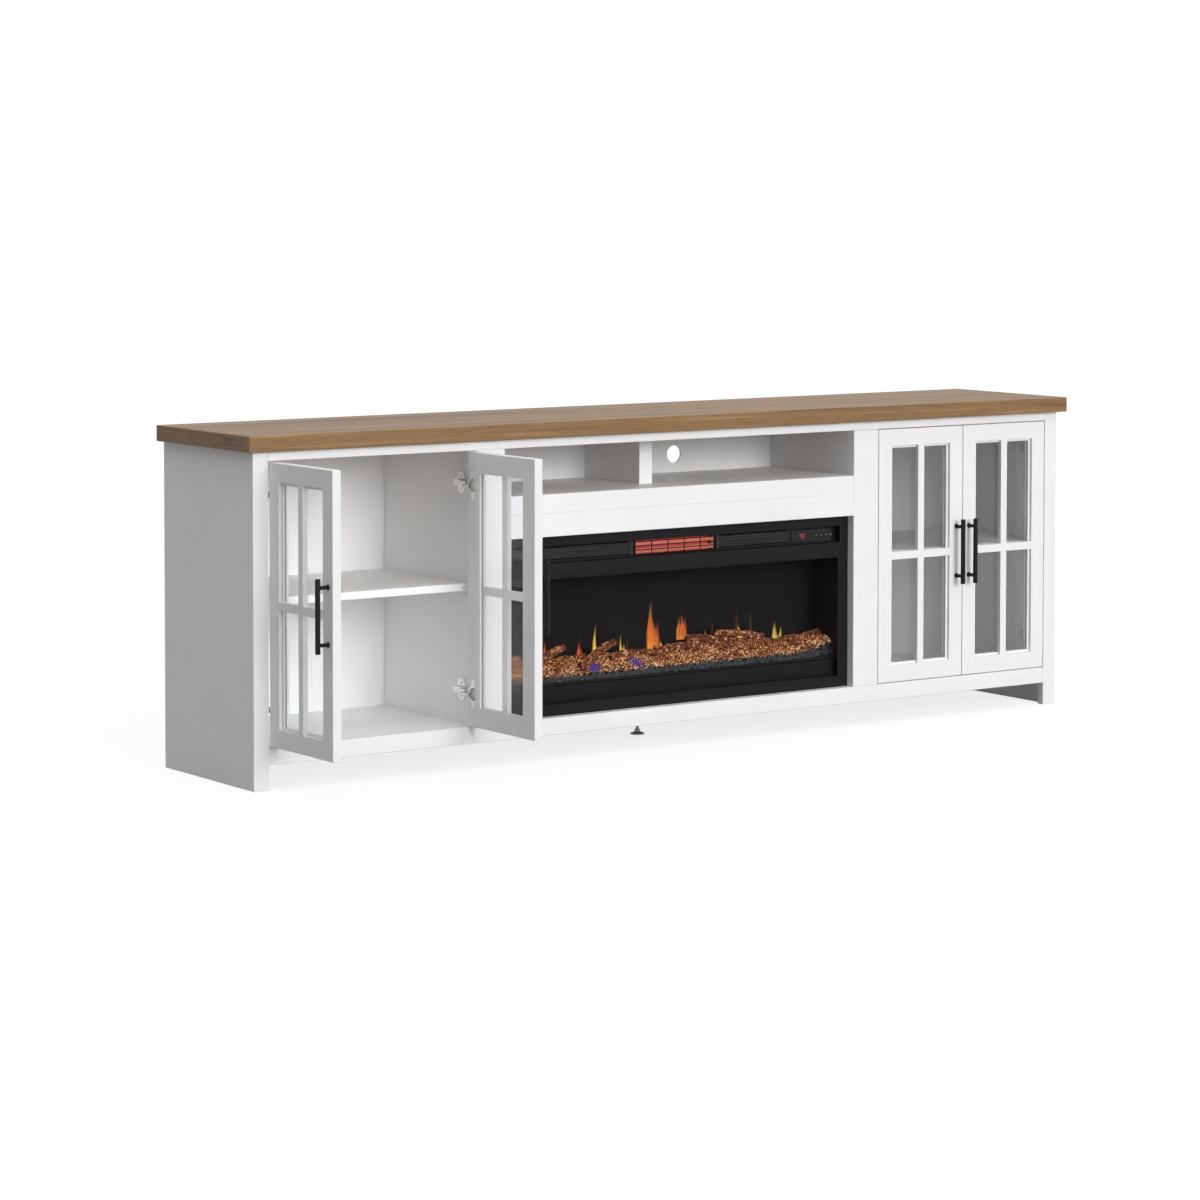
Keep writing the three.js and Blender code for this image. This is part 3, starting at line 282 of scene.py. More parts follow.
@dataclass(frozen=True)
class SatinPaint:
    """White satin paint over an embossed wood grain."""

    grain: Grain
    name: str = "satin_white"
    colour: Colour = (0.875, 0.875, 0.872)
    shade: Colour = (0.835, 0.837, 0.838)
    emboss: float = 0.25 * MM

    def make(self) -> Material:
        """Returns the paint as a material."""
        shader = Shader(f"{self.name}_{self.grain.value}")
        streaks = shader.streaks(self.grain)
        cloud = shader.noise(shader.coords(), 7.0, 2.0)
        tone = shader.spread(shader.product(streaks, cloud), 0.12, 0.38)
        shader.set(
            Base_Color=shader.mix(tone, self.shade, self.colour),
            Roughness=shader.vary(streaks, 0.40, 0.55),
            Coat_Weight=0.15,
            Coat_Roughness=0.3,
        )
        shader.bump(streaks, self.emboss, 0.35)
        return shader.material


# A paler copy of the white paint for the boards inside the cupboards: painted light that lifts the
# shade in there.
INSIDE_PAINT_PAINTED_LIGHT = SatinPaint(Grain.UPRIGHT, "inside_white_painted_light", (0.95, 0.95, 0.945), (0.93, 0.93, 0.93))


@dataclass(frozen=True)
class HingedPaint:
    """The inner paint on a board, a paler copy that carries painted light, and bright nickel on the
    hinge parts and pins fixed to it.

    Attributes:
        name: The material's name.
        face_x: Where the board's face lies.
        away: The side of that face that the hinge parts stand on.
    """

    name: str
    face_x: float
    away: int
    clearance: float = 0.15 * MM
    roughness: float = 0.46

    def make(self) -> Material:
        """Returns a material that is metal beyond the board's face."""
        shader = Shader(self.name)
        test = "GREATER_THAN" if self.away > 0 else "LESS_THAN"
        metal = shader.math(test, shader.axes()["X"], self.face_x + self.away * self.clearance)
        shader.paint_or_nickel(INSIDE_PAINT_PAINTED_LIGHT, metal, self.roughness)
        return shader.material


@dataclass(frozen=True)
class LeafPaint:
    """The outer paint on a door, and nickel on the hinge cups let into its back.

    Attributes:
        name: The material's name.
        hinge_x: Where the door turns, across the cabinet.
        front_y: Where its outer face lies when it is shut.
        sign: The side of the hinge that the shut door lies on.
        open: Whether the door stands open at rest.
        cup_heights: The heights of its cups.
    """

    name: str
    hinge_x: float
    front_y: float
    sign: int
    open: bool
    cup_heights: tuple[float, float]
    thickness: float = 22 * MM
    cup_centre: float = 21.5 * MM
    cup_radius: float = 16.2 * MM
    pocket_depth: float = 12.8 * MM
    clearance: float = 0.1 * MM
    roughness: float = 0.44

    def local(self, shader: Shader) -> tuple[Any, Any, Any]:
        """Returns how far a point lies across the door, into it and up."""
        axes = shader.axes()
        beside = shader.product(shader.math("SUBTRACT", axes["X"], self.hinge_x), self.sign)
        if self.open:
            return shader.math("SUBTRACT", self.front_y, axes["Y"]), beside, axes["Z"]
        return beside, shader.math("SUBTRACT", axes["Y"], self.front_y), axes["Z"]

    def make(self) -> Material:
        """Returns the paint with its metal places."""
        shader = Shader(self.name)
        across, inward, height = self.local(shader)
        proud = shader.math("GREATER_THAN", inward, self.thickness + self.clearance)
        deep = shader.math("GREATER_THAN", inward, self.thickness - self.pocket_depth)
        beside = shader.math("POWER", shader.math("SUBTRACT", across, self.cup_centre), 2.0)
        near = 0.0
        for level in self.cup_heights:
            above = shader.math("POWER", shader.math("SUBTRACT", height, level), 2.0)
            away = shader.math("ADD", beside, above)
            inside = shader.math("LESS_THAN", away, self.cup_radius ** 2)
            near = shader.math("MAXIMUM", inside, near)
        metal = shader.math("MAXIMUM", proud, shader.product(near, deep))
        shader.paint_or_nickel(SatinPaint(Grain.UPRIGHT), metal, self.roughness)
        return shader.material


@dataclass(frozen=True)
class OakTop:
    """Golden brown oak with long streaky grain; the strips on the top's two ends have their own,
    darkened with painted shade.
    """

    dark: Colour = (0.092, 0.045, 0.019)
    middle: Colour = (0.250, 0.142, 0.060)
    light: Colour = (0.410, 0.258, 0.122)
    half_length: float = 1235.85 * MM
    end_strip: float = 0.6 * MM
    relief: float = 0.12 * MM

    def board(self, shader: Shader, broad: Point, fine: Point, pores: Point) -> Socket:
        """Returns the colour of one board.

        Args:
            shader: The shader that the nodes go to.
            broad: The scale of the wide bands.
            fine: The scale of the streaks.
            pores: The scale of the short dark pores.

        Returns:
            The board's colour.
        """
        bands = shader.noise(shader.placed(broad), 1.0, 3.0, 0.5, 1.0)
        streaks = shader.noise(shader.placed(fine), 1.0, 5.0, 0.65, 0.7)
        short = shader.noise(shader.placed(pores), 1.0, 3.0, 0.6)
        figure = shader.math("ADD", shader.product(bands, 0.5), shader.product(streaks, 0.5))
        tones = {0.37: self.dark, 0.46: self.middle, 0.54: self.middle, 0.64: self.light}
        colour = shader.ramp(figure, tones)
        return shader.mix(shader.spread(short, 0.56, 0.68, 0.0, 0.6), colour, self.dark)

    def make(self) -> Material:
        """Returns the oak as a material."""
        shader = Shader("golden_oak")
        streak_scale = (2.2, 105, 125)
        side = self.board(shader, (0.8, 21, 34), streak_scale, (9, 420, 420))
        cross_cut = self.board(shader, (30, 3.0, 34), (120, 4.0, 125), (420, 14, 420))
        away = shader.math("ABSOLUTE", shader.axes()["X"])
        on_end = shader.math("GREATER_THAN", away, self.half_length - self.end_strip)
        streaks = shader.noise(shader.placed(streak_scale), 1.0, 5.0, 0.65, 0.7)
        shader.set(
            # On the end faces the cross-cut grain is mixed 0.3 towards the dark tone, which is
            # painted shade.
            Base_Color=shader.mix(on_end, side, shader.mix(0.3, cross_cut, self.dark)),
            Roughness=shader.vary(streaks, 0.42, 0.58),
            Specular_IOR_Level=0.34,
        )
        shader.bump(streaks, self.relief, 0.5)
        return shader.material


@dataclass(frozen=True)
class PaneGlass:
    """Clear or smoked glass in a thin pane, which doesn't bend what is seen through it."""

    name: str
    colour: Colour
    alpha: float
    gloss: float
    ior: float = 1.01
    gloss_ior: float = 1.62
    roughness: float = 0.02

    def make(self) -> Material:
        """Returns the glass as a material."""
        shader = Shader(self.name)
        haze = shader.noise(shader.coords(), 9.0, 2.0)
        shader.set(
            Base_Color=self.colour,
            Transmission_Weight=1.0,
            Roughness=shader.vary(haze, self.roughness * 0.5, self.roughness),
            IOR=self.ior,
            Coat_Weight=self.gloss,
            Coat_Roughness=self.roughness,
            Coat_IOR=self.gloss_ior,
            Alpha=self.alpha,
        )
        return shader.material


@dataclass(frozen=True)
class Metal:
    """A metal, bare or coated, with a fine surface texture."""

    name: str
    colour: Colour
    metallic: float
    roughness: float
    speckle: float = 900.0
    relief: float = 0.04 * MM
    shine: float = 0.5

    def make(self) -> Material:
        """Returns the metal as a material."""
        shader = Shader(self.name)
        fine = shader.noise(shader.coords(), self.speckle, 2.0)
        cloud = shader.noise(shader.coords(), 14.0, 3.0)
        darker = tuple(0.86 * part for part in self.colour)
        shader.set(
            Base_Color=shader.mix(shader.vary(cloud), darker, self.colour),
            Metallic=self.metallic,
            Roughness=shader.vary(cloud, self.roughness * 0.85, self.roughness * 1.1),
            Specular_IOR_Level=self.shine,
        )
        shader.bump(fine, self.relief, 0.5)
        return shader.material


@dataclass(frozen=True)
class LouvredCoat:
    """The matt black of the fire's front, with a painted highlight of streaky lighter grey on the
    slats of its louvres.
    """

    across: tuple[float, float] = (-498 * MM, 354 * MM)
    upward: tuple[float, float] = (473.5 * MM, 507.5 * MM)
    window_half: float = 128 * MM
    black: Colour = (0.011, 0.011, 0.012)
    # The lighter grey on the slats is a painted highlight where the slats catch light; elsewhere
    # the coat stays matt black.
    slat_highlight: Colour = (0.062, 0.063, 0.067)
    relief: float = 0.06 * MM

    def make(self) -> Material:
        """Returns the coat as a material."""
        shader = Shader("louvred_coat_painted_highlight")
        axes = shader.axes()
        # The area of the slats, which takes the painted highlight.
        mask = shader.math("GREATER_THAN", shader.math("ABSOLUTE", axes["X"]), self.window_half)
        for axis, limits in (("X", self.across), ("Z", self.upward)):
            for test, limit in zip(("GREATER_THAN", "LESS_THAN"), limits):
                mask = shader.product(mask, shader.math(test, axes[axis], limit))
        # Streaks along the slats that break up the painted highlight.
        sheen_streaks = shader.noise(shader.placed((6, 40, 700)), 1.0, 3.0)
        slat_sheen = shader.spread(sheen_streaks, 0.35, 0.62, 0.35, 1.0)
        fine = shader.noise(shader.coords(), 1500.0, 2.0)
        shader.set(
            Base_Color=shader.mix(shader.product(mask, slat_sheen), self.black, self.slat_highlight),
            Roughness=shader.vary(fine, 0.45, 0.55),
            Specular_IOR_Level=0.10,
        )
        shader.bump(fine, self.relief, 0.5)
        return shader.material


@dataclass(frozen=True)
class GlossPlastic:
    """Gloss black moulded plastic."""

    name: str = "gloss_black"
    colour: Colour = (0.010, 0.010, 0.012)
    roughness: float = 0.14
    shine: float = 0.22

    def make(self) -> Material:
        """Returns the plastic as a material."""
        shader = Shader(self.name)
        cloud = shader.noise(shader.coords(), 60.0, 2.0)
        shader.set(
            Base_Color=self.colour,
            Roughness=shader.vary(cloud, self.roughness * 0.7, self.roughness * 1.4),
            Specular_IOR_Level=self.shine,
        )
        return shader.material


@dataclass(frozen=True)
class LitSurface:
    """A surface that glows by itself, evenly but for a slow change of strength.

    Attributes:
        name: The material's name.
        glow: The light's colour.
        strength: How strong it is.
        ripple: How fast the strength changes along the surface.
        body: The surface's own colour.
        low_share: The share of the light that is left where it is weakest.
    """

    name: str
    glow: Colour
    strength: float
    ripple: float
    body: Colour = (0.02, 0.01, 0.01)
    low_share: float = 0.7

    def make(self) -> Material:
        """Returns the glowing surface as a material."""
        shader = Shader(self.name)
        wave = shader.noise(shader.coords(), self.ripple, 2.0)
        dimmed = tuple(self.low_share * part for part in self.glow)
        shader.set(
            Base_Color=self.body,
            Roughness=0.4,
            Emission_Color=shader.mix(shader.vary(wave), dimmed, self.glow),
            Emission_Strength=self.strength,
        )
        return shader.material


GLOW_TONES = {
    0.0: (0.004, 0.001, 0.001), 0.34: (0.060, 0.014, 0.007), 0.58: (0.20, 0.052, 0.022),
    0.76: (0.46, 0.145, 0.052), 0.90: (0.84, 0.36, 0.125), 1.0: (0.95, 0.66, 0.36),
}


@dataclass(frozen=True)
class Coals:
    """Charred lumps with dark gaps, rust red light and small bright specks, most of them in front.

    Attributes:
        name: The material's name.
        char: The darkest colour of a lump.
        ash: Its lightest colour.
        scale: How many specks there are to the metre.
        coldest: The heat below which a lump stays dark.
        strength: How strongly they glow.
        front_y: Where the glow begins; what lies before it is cold.
        back_y: Where it ends.
        front_gain: How much hotter the front is than the back.
        blue_places: The middles of the blue lights.
    """

    name: str
    char: Colour
    ash: Colour
    scale: float
    coldest: float
    strength: float
    front_y: float
    back_y: float
    front_gain: float = 0.0
    blue_places: tuple[Point, ...] = ()
    blue_reach: float = 25 * MM
    speck_share: float = 0.62
    blue: Colour = (0.034, 0.028, 0.25)
    cold: Colour = (0.014, 0.015, 0.016)
    spill: float = 5 * MM
    relief: float = 0.8 * MM

    def make(self) -> Material:
        """Returns the coals as a material."""
        shader = Shader(self.name)
        speck = shader.cells(shader.coords(), self.scale)
        cloud = shader.noise(shader.coords(), 26.0, 3.0)
        fine = shader.noise(shader.coords(), 240.0, 3.0, 0.65)
        soft = shader.product(shader.math("ADD", cloud, fine), 1 - self.speck_share)
        hot = shader.math("ADD", shader.product(speck, self.speck_share), soft)
        depth = shader.axes()["Y"]
        nearer = shader.spread(depth, self.front_y, self.back_y, self.front_gain, -self.front_gain)
        level = shader.spread(shader.math("ADD", hot, nearer), self.coldest, 1.0)
        behind = shader.math("GREATER_THAN", depth, self.front_y - self.spill)
        glow = shader.ramp(shader.product(level, behind), GLOW_TONES)
        for place in self.blue_places:
            offset = shader.placed(offset=tuple(-part for part in place))
            away = shader.node("VectorMath", {0: offset}, operation="LENGTH").outputs["Value"]
            near = shader.spread(away, self.blue_reach * 0.45, self.blue_reach, 0.95, 0.0)
            glow = shader.mix(near, glow, self.blue)
        shader.set(
            Base_Color=shader.mix(behind, self.cold, shader.mix(fine, self.char, self.ash)),
            Roughness=0.9,
            Specular_IOR_Level=0.15,
            Emission_Color=glow,
            Emission_Strength=self.strength,
        )
        shader.bump(fine, self.relief, 0.8)
        return shader.material


FLAME_TONES = {
    Flicker.TALL: {0.0: (0.95, 0.40, 0.08), 0.2: (0.88, 0.24, 0.045), 0.55: (0.78, 0.19, 0.045),
                   0.75: (0.38, 0.20, 0.07), 1.0: (0.16, 0.12, 0.045)},
    Flicker.YELLOW: {0.0: (1.0, 0.74, 0.30), 0.3: (0.95, 0.62, 0.09), 0.65: (0.70, 0.40, 0.06),
                     1.0: (0.30, 0.16, 0.04)},
    Flicker.RED: {0.0: (0.75, 0.20, 0.07), 0.5: (0.60, 0.11, 0.045), 1.0: (0.30, 0.05, 0.03)},
    Flicker.PALE: {0.0: (0.34, 0.17, 0.09), 0.5: (0.22, 0.10, 0.06), 1.0: (0.12, 0.05, 0.04)},
}
FLAME_VEILS = {Flicker.TALL: 0.95, Flicker.YELLOW: 1.0, Flicker.RED: 0.80, Flicker.PALE: 0.25}


@dataclass(frozen=True)
class FlameLight:
    """The soft, streaky light of a flame, which runs out at the sides and tip of the piece."""

    kind: Flicker
    strength: float = 1.0
    streaks: Point = (210.0, 1.0, 15.0)

    def make(self) -> Material:
        """Returns the flame as a material."""
        shader = Shader(f"flame_{self.kind.value}")
        axes = shader.axes("UV")
        up = axes["Y"]
        side = shader.math("ABSOLUTE", shader.math("SUBTRACT", shader.product(axes["X"], 2.0), 1.0))
        core = shader.spread(side, 1.0, 0.5)
        ends = shader.product(shader.spread(up, 0.0, 0.05), shader.spread(up, 1.0, 0.55))
        veil = FLAME_VEILS[self.kind]
        noisy = shader.noise(shader.placed(self.streaks), 1.0, 2.0)
        shader.set(
            Base_Color=(0.0, 0.0, 0.0),
            Specular_IOR_Level=0.0,
            Emission_Color=shader.ramp(up, FLAME_TONES[self.kind]),
            Emission_Strength=self.strength,
            Alpha=shader.product(core, ends, shader.spread(noisy, 0.36, 0.56, 0.45 * veil, veil)),
        )
        return shader.material


def mesh_of(shape: Shape, name: str) -> bpy.types.Mesh:
    """Returns a mesh that is made of a shape, which is used up."""
    mesh = bpy.data.meshes.new(name)
    shape.to_mesh(mesh)
    shape.free()
    return mesh


def put(name: str, data: Any) -> bpy.types.Object:
    """Returns a new object that is in the scene."""
    made = bpy.data.objects.new(name, data)
    bpy.context.scene.collection.objects.link(made)
    return made


class Workshop:
    """Turns meshes into finished pieces that ride on a body of the frame."""

    def __init__(self) -> None:
        """Starts an empty list of pieces."""
        self.pieces: list[str] = []

    def piece(self, name: str, shape: Shape, material: Material, body: str,
              replaces: tuple[str, ...] = (), smooth: bool = True) -> None:
        """Finishes one piece.

        Args:
            name: The piece's name.
            shape: Its mesh, which is used up.
            material: Its finish.
            body: The body that it rides on.
            replaces: The nodes that it stands for.
            smooth: Whether its round faces are shaded smooth.
        """
        bmesh.ops.remove_doubles(shape, verts=shape.verts, dist=WELD)
        bmesh.ops.recalc_face_normals(shape, faces=shape.faces)
        if smooth:
            for edge in shape.edges:
                edge.smooth = not edge.is_manifold or edge.calc_face_angle(0.0) < CREASE
            for face in shape.faces:
                face.smooth = True
        mesh = mesh_of(shape, name)
        mesh.materials.append(material)
        made = put(name, mesh)
        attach(made, body)
        if replaces:
            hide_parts(*replaces)
        self.pieces.append(name)
        LOG.info("%s: %d faces, on %s", name, len(mesh.polygons), body)

    def dress(self, material: Material, *nodes: str) -> None:
        """Gives nodes of the frame their finish."""
        for node in nodes:
            slots = frame["nodes"][node].data.materials
            slots.clear()
            slots.append(material)
            LOG.info("%s dressed with %s", node, material.name)


WORKSHOP = Workshop()
FLAME_FINISHES = {kind: FlameLight(kind).make() for kind in Flicker}


class Forge:
    """Basic shapes, each added to a mesh in its place."""

    @staticmethod
    def lathe(shape: Shape, profile: list[tuple[float, float]], place: Placer, steps: int) -> None:
        """Turns a profile round the local Z axis.

        Args:
            shape: The mesh to add to.
            profile: Radius and height of each point, from axis to axis.
            place: Moves a point from local coordinates to its place.
            steps: The number of steps round.
        """
        points = [shape.verts.new((radius, 0.0, height)) for radius, height in profile]
        edges = [shape.edges.new(pair) for pair in zip(points, points[1:])]
        before = set(shape.verts) - set(points)
        bmesh.ops.spin(shape, geom=points + edges, cent=(0, 0, 0), axis=(0, 0, 1), angle=math.tau,
                       steps=steps, use_merge=True, use_duplicate=False)
        for vertex in set(shape.verts) - before:
            vertex.co = place(vertex.co)

    @staticmethod
    def slab(shape: Shape, low: Point, high: Point, ease: float) -> None:
        """Adds a block between two corners, with its edges eased."""
        made = bmesh.ops.create_cube(shape, size=1.0)["verts"]
        middle = (Vector(low) + Vector(high)) / 2
        span = Vector(high) - Vector(low)
        for vertex in made:
            vertex.co = middle + Vector(part * size for part, size in zip(vertex.co, span))
        edges = {edge for vertex in made for edge in vertex.link_edges}
        bmesh.ops.bevel(shape, geom=list(edges), offset=ease, segments=2, profile=0.5,
                        affect="EDGES", material=-1)

    @staticmethod
    def along(start: Vector, end: Vector) -> Placer:
        """Returns a placer that lays the local Z axis from one point to another."""
        turn = (end - start).to_track_quat("Z", "Y")
        return lambda point: start + turn @ point

    @staticmethod
    def rod(shape: Shape, start: Vector, end: Vector, radius: float, ease: float,
            steps: int = 24) -> None:
        """Adds a round rod with eased ends between two points."""
        length = (end - start).length
        cut = ease * 0.3
        foot = [(0.0, 0.0), (radius - ease, 0.0), (radius - cut, cut), (radius, ease)]
        head = [(reach, length - height) for reach, height in reversed(foot)]
        Forge.lathe(shape, foot + head, Forge.along(start, end), steps)


def wears(recipe: Any) -> Any:
    """Returns a dataclass field that holds the recipe's material."""
    return field(default_factory=recipe.make)


@dataclass
class Finishes:
    """Every finish that more than one piece or a plain node wears, made once."""

    upright: Material = wears(SatinPaint(Grain.UPRIGHT))
    level: Material = wears(SatinPaint(Grain.ALONG))
    inside: Material = wears(INSIDE_PAINT_PAINTED_LIGHT)
    oak: Material = wears(OakTop())
    pane: Material = wears(PaneGlass("clear_pane", (0.80, 0.82, 0.85), 0.5, 0.7))
    smoked: Material = wears(PaneGlass("smoked_pane", (0.55, 0.56, 0.60), 0.10, 0.08))
    black: Material = wears(Metal("black_coat", (0.012, 0.012, 0.013), 0.0, 0.45, shine=0.14))
    nickel: Material = wears(Metal("bright_nickel", NICKEL, 1.0, NICKEL_ROUGHNESS))
    grey: Material = wears(Metal("grey_zinc", (0.22, 0.23, 0.24), 0.6, 0.4))
    fire: Material = wears(Metal("fire_coat", (0.009, 0.009, 0.010), 0.0, 0.5, *SHEET_TEXTURE))
    # The housing's coat is a paler copy of the fire's black: painted light that lifts the shade on
    # the walls inside the fire.
    housing: Material = wears(
        Metal("housing_coat_painted_light", (0.030, 0.030, 0.031), 0.0, 0.6, *SHEET_TEXTURE))
    gloss: Material = wears(GlossPlastic())
    ceramic: Material = wears(Metal("ceramic", (0.45, 0.40, 0.36), 0.0, 0.7))
    quartz: Material = wears(LitSurface("glowing_quartz", (0.57, 0.135, 0.100), 1.0, 90.0))
    # The reflector's glow is painted light: a red emission that stands in for the tubes' light
    # reflected off the sheet.
    reflector: Material = wears(
        LitSurface("reflector_painted_glow", (0.34, 0.035, 0.028), 1.0, 30.0, (0.10, 0.06, 0.055)))
    digits: Material = wears(
        LitSurface("red_digits", (0.62, 0.045, 0.060), 1.0, 300.0, low_share=0.9))
    # The marks glow faintly: painted light that makes the grey print stand out on the black
    # buttons.
    marks: Material = wears(
        LitSurface("grey_marks_painted_glow", (0.30, 0.30, 0.32), 0.15, 300.0, (0.22, 0.22, 0.23)))
    vanes: Material = wears(Metal("bright_vanes", (0.8, 0.8, 0.8), 1.0, 0.2))
    screen: Material = wears(
        Metal("dark_screen", (0.016, 0.015, 0.015), 0.0, 0.8, 500.0, shine=0.04))


@dataclass
class Joinery:
    """Boards, posts, rails and shelves, all in painted wood but for the oak top."""

    finishes: Finishes
    upright: tuple[str, ...] = (
        "left_front_post", "right_front_post", "left_middle_stile", "right_middle_stile",
        "left_side_panel", "right_side_panel", "left_centre_side", "right_centre_side",
        "media_divider",
    )
    level: tuple[str, ...] = (
        "top_rail", "bottom_rail", "insert_header_rail", "media_shelf", "media_back_panel",
    )
    # Boards inside the cupboards, which wear the paler paint that carries painted light.
    inside: tuple[str, ...] = (
        "left_back_panel", "right_back_panel", "bottom_panel", "left_shelf", "right_shelf",
    )

    def dress(self) -> None:
        """Gives every board its finish."""
        WORKSHOP.dress(self.finishes.oak, "top_slab")
        WORKSHOP.dress(self.finishes.upright, *self.upright)
        WORKSHOP.dress(self.finishes.level, *self.level)
        WORKSHOP.dress(self.finishes.inside, *self.inside)
        WORKSHOP.dress(self.finishes.grey, "centre_foot")
        for side, sign in (("left", -1), ("right", 1)):
            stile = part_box(f"{side}_middle_stile")
            face = stile[0].x if sign < 0 else stile[1].x
            paint = HingedPaint(f"{side}_partition_paint", face, sign)
            WORKSHOP.dress(paint.make(), f"{side}_partition")
            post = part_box(f"{side}_front_post")
            inner = post[1].x if sign < 0 else post[0].x
            paint = HingedPaint(f"{side}_strip_paint", inner, -sign)
            WORKSHOP.dress(paint.make(), f"{side}_hinge_strip")


@dataclass
class GlazedDoor:
    """One glazed door with its bar pull and its two concealed hinges.

    Attributes:
        name: The door's name.
        sign: The side of its hinge that it lies on when shut.
        open: Whether it stands open at rest.
        finishes: The finishes that it wears.
    """

    name: str
    sign: int
    open: bool
    finishes: Finishes
    cup_from_end: float = 78 * MM
    bar_radius: float = 6 * MM
    bar_ease: float = 1.6 * MM
    post_radius: float = 4.5 * MM
    post_inset: float = 20 * MM
    seat_radius: float = 6.5 * MM
    seat_height: float = 2.0 * MM

    @property
    def frame_box(self) -> tuple[Vector, Vector]:
        """Returns the corners of the door's frame."""
        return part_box(f"{self.name}_door_frame")

    @property
    def hinge(self) -> Vector:
        """Returns the corner that the door turns on, at its foot."""
        joint = next(row for row in frame["joints"] if row["name"] == f"{self.name}_door_hinge")
        return Vector((joint["pos_m"][0], joint["pos_m"][1], self.frame_box[0].z))

    @property
    def cups(self) -> tuple[float, float]:
        """Returns the heights of the two hinge cups."""
        low, high = self.frame_box
        return low.z + self.cup_from_end, high.z - self.cup_from_end

    def outward(self) -> Vector:
        """Returns the way that the door's outer face looks at rest."""
        return Vector((-self.sign, 0, 0)) if self.open else Vector((0, -1, 0))

    def build(self) -> None:
        """Makes and dresses the door's pieces."""
        hinge = self.hinge
        paint = LeafPaint(f"{self.name}_paint", hinge.x, hinge.y, self.sign, self.open, self.cups)
        WORKSHOP.dress(paint.make(), f"{self.name}_door_frame")
        WORKSHOP.dress(self.finishes.pane, f"{self.name}_door_glass")
        links = (f"{self.name}_{level}_hinge_link" for level in ("lower", "upper"))
        WORKSHOP.dress(self.finishes.nickel, *links)
        self.build_pull()

    def build_pull(self) -> None:
        """Builds the bar pull: a round bar on two posts, each with a seat against the door."""
        low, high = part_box(f"{self.name}_door_pull")
        out = self.outward()
        middle = (low + high) / 2
        reach = (high - low).dot(Vector(abs(part) for part in out)) / 2
        face = middle - out * reach
        axis = middle + out * (reach - self.bar_radius)
        shape = bmesh.new()
        foot, head = Vector((axis.x, axis.y, low.z)), Vector((axis.x, axis.y, high.z))
        Forge.rod(shape, foot, head, self.bar_radius, self.bar_ease, 32)
        for z in (low.z + self.post_inset, high.z - self.post_inset):
            seat = Vector((face.x, face.y, z))
            tip = Vector((axis.x, axis.y, z))
            length = (tip - seat).length
            wide, height = self.seat_radius, self.seat_height
            profile = [
                (0.0, 0.0), (wide, 0.0), (wide, height * 0.6), (wide * 0.93, height),
                (self.post_radius, height * 1.2), (self.post_radius, length), (0.0, length),
            ]
            Forge.lathe(shape, profile, Forge.along(seat, tip), 28)
        WORKSHOP.piece(f"{self.name}_bar_pull", shape, self.finishes.black, f"{self.name}_door",
                       (f"{self.name}_door_pull",))


@dataclass(frozen=True)
class Log:
    """One bent, tapered log.

    Attributes:
        start: Its lower end, in millimetres.
        end: Its upper end.
        radii: Its radius at each end.
        bend: How far its middle rises above the straight line.
    """

    start: Point
    end: Point
    radii: tuple[float, float]
    bend: float


@dataclass(frozen=True)
class Flame:
    """One flame on the screen.

    Attributes:
        x: Its middle, in millimetres.
        foot: The height of its foot.
        tip: The height of its tip.
        width: Its width.
        kind: Its kind, which sets its form and its light.
        lean: How far its tip leans to the right.
    """

    x: float
    foot: float
    tip: float
    width: float
    kind: Flicker
    lean: float = 0.0


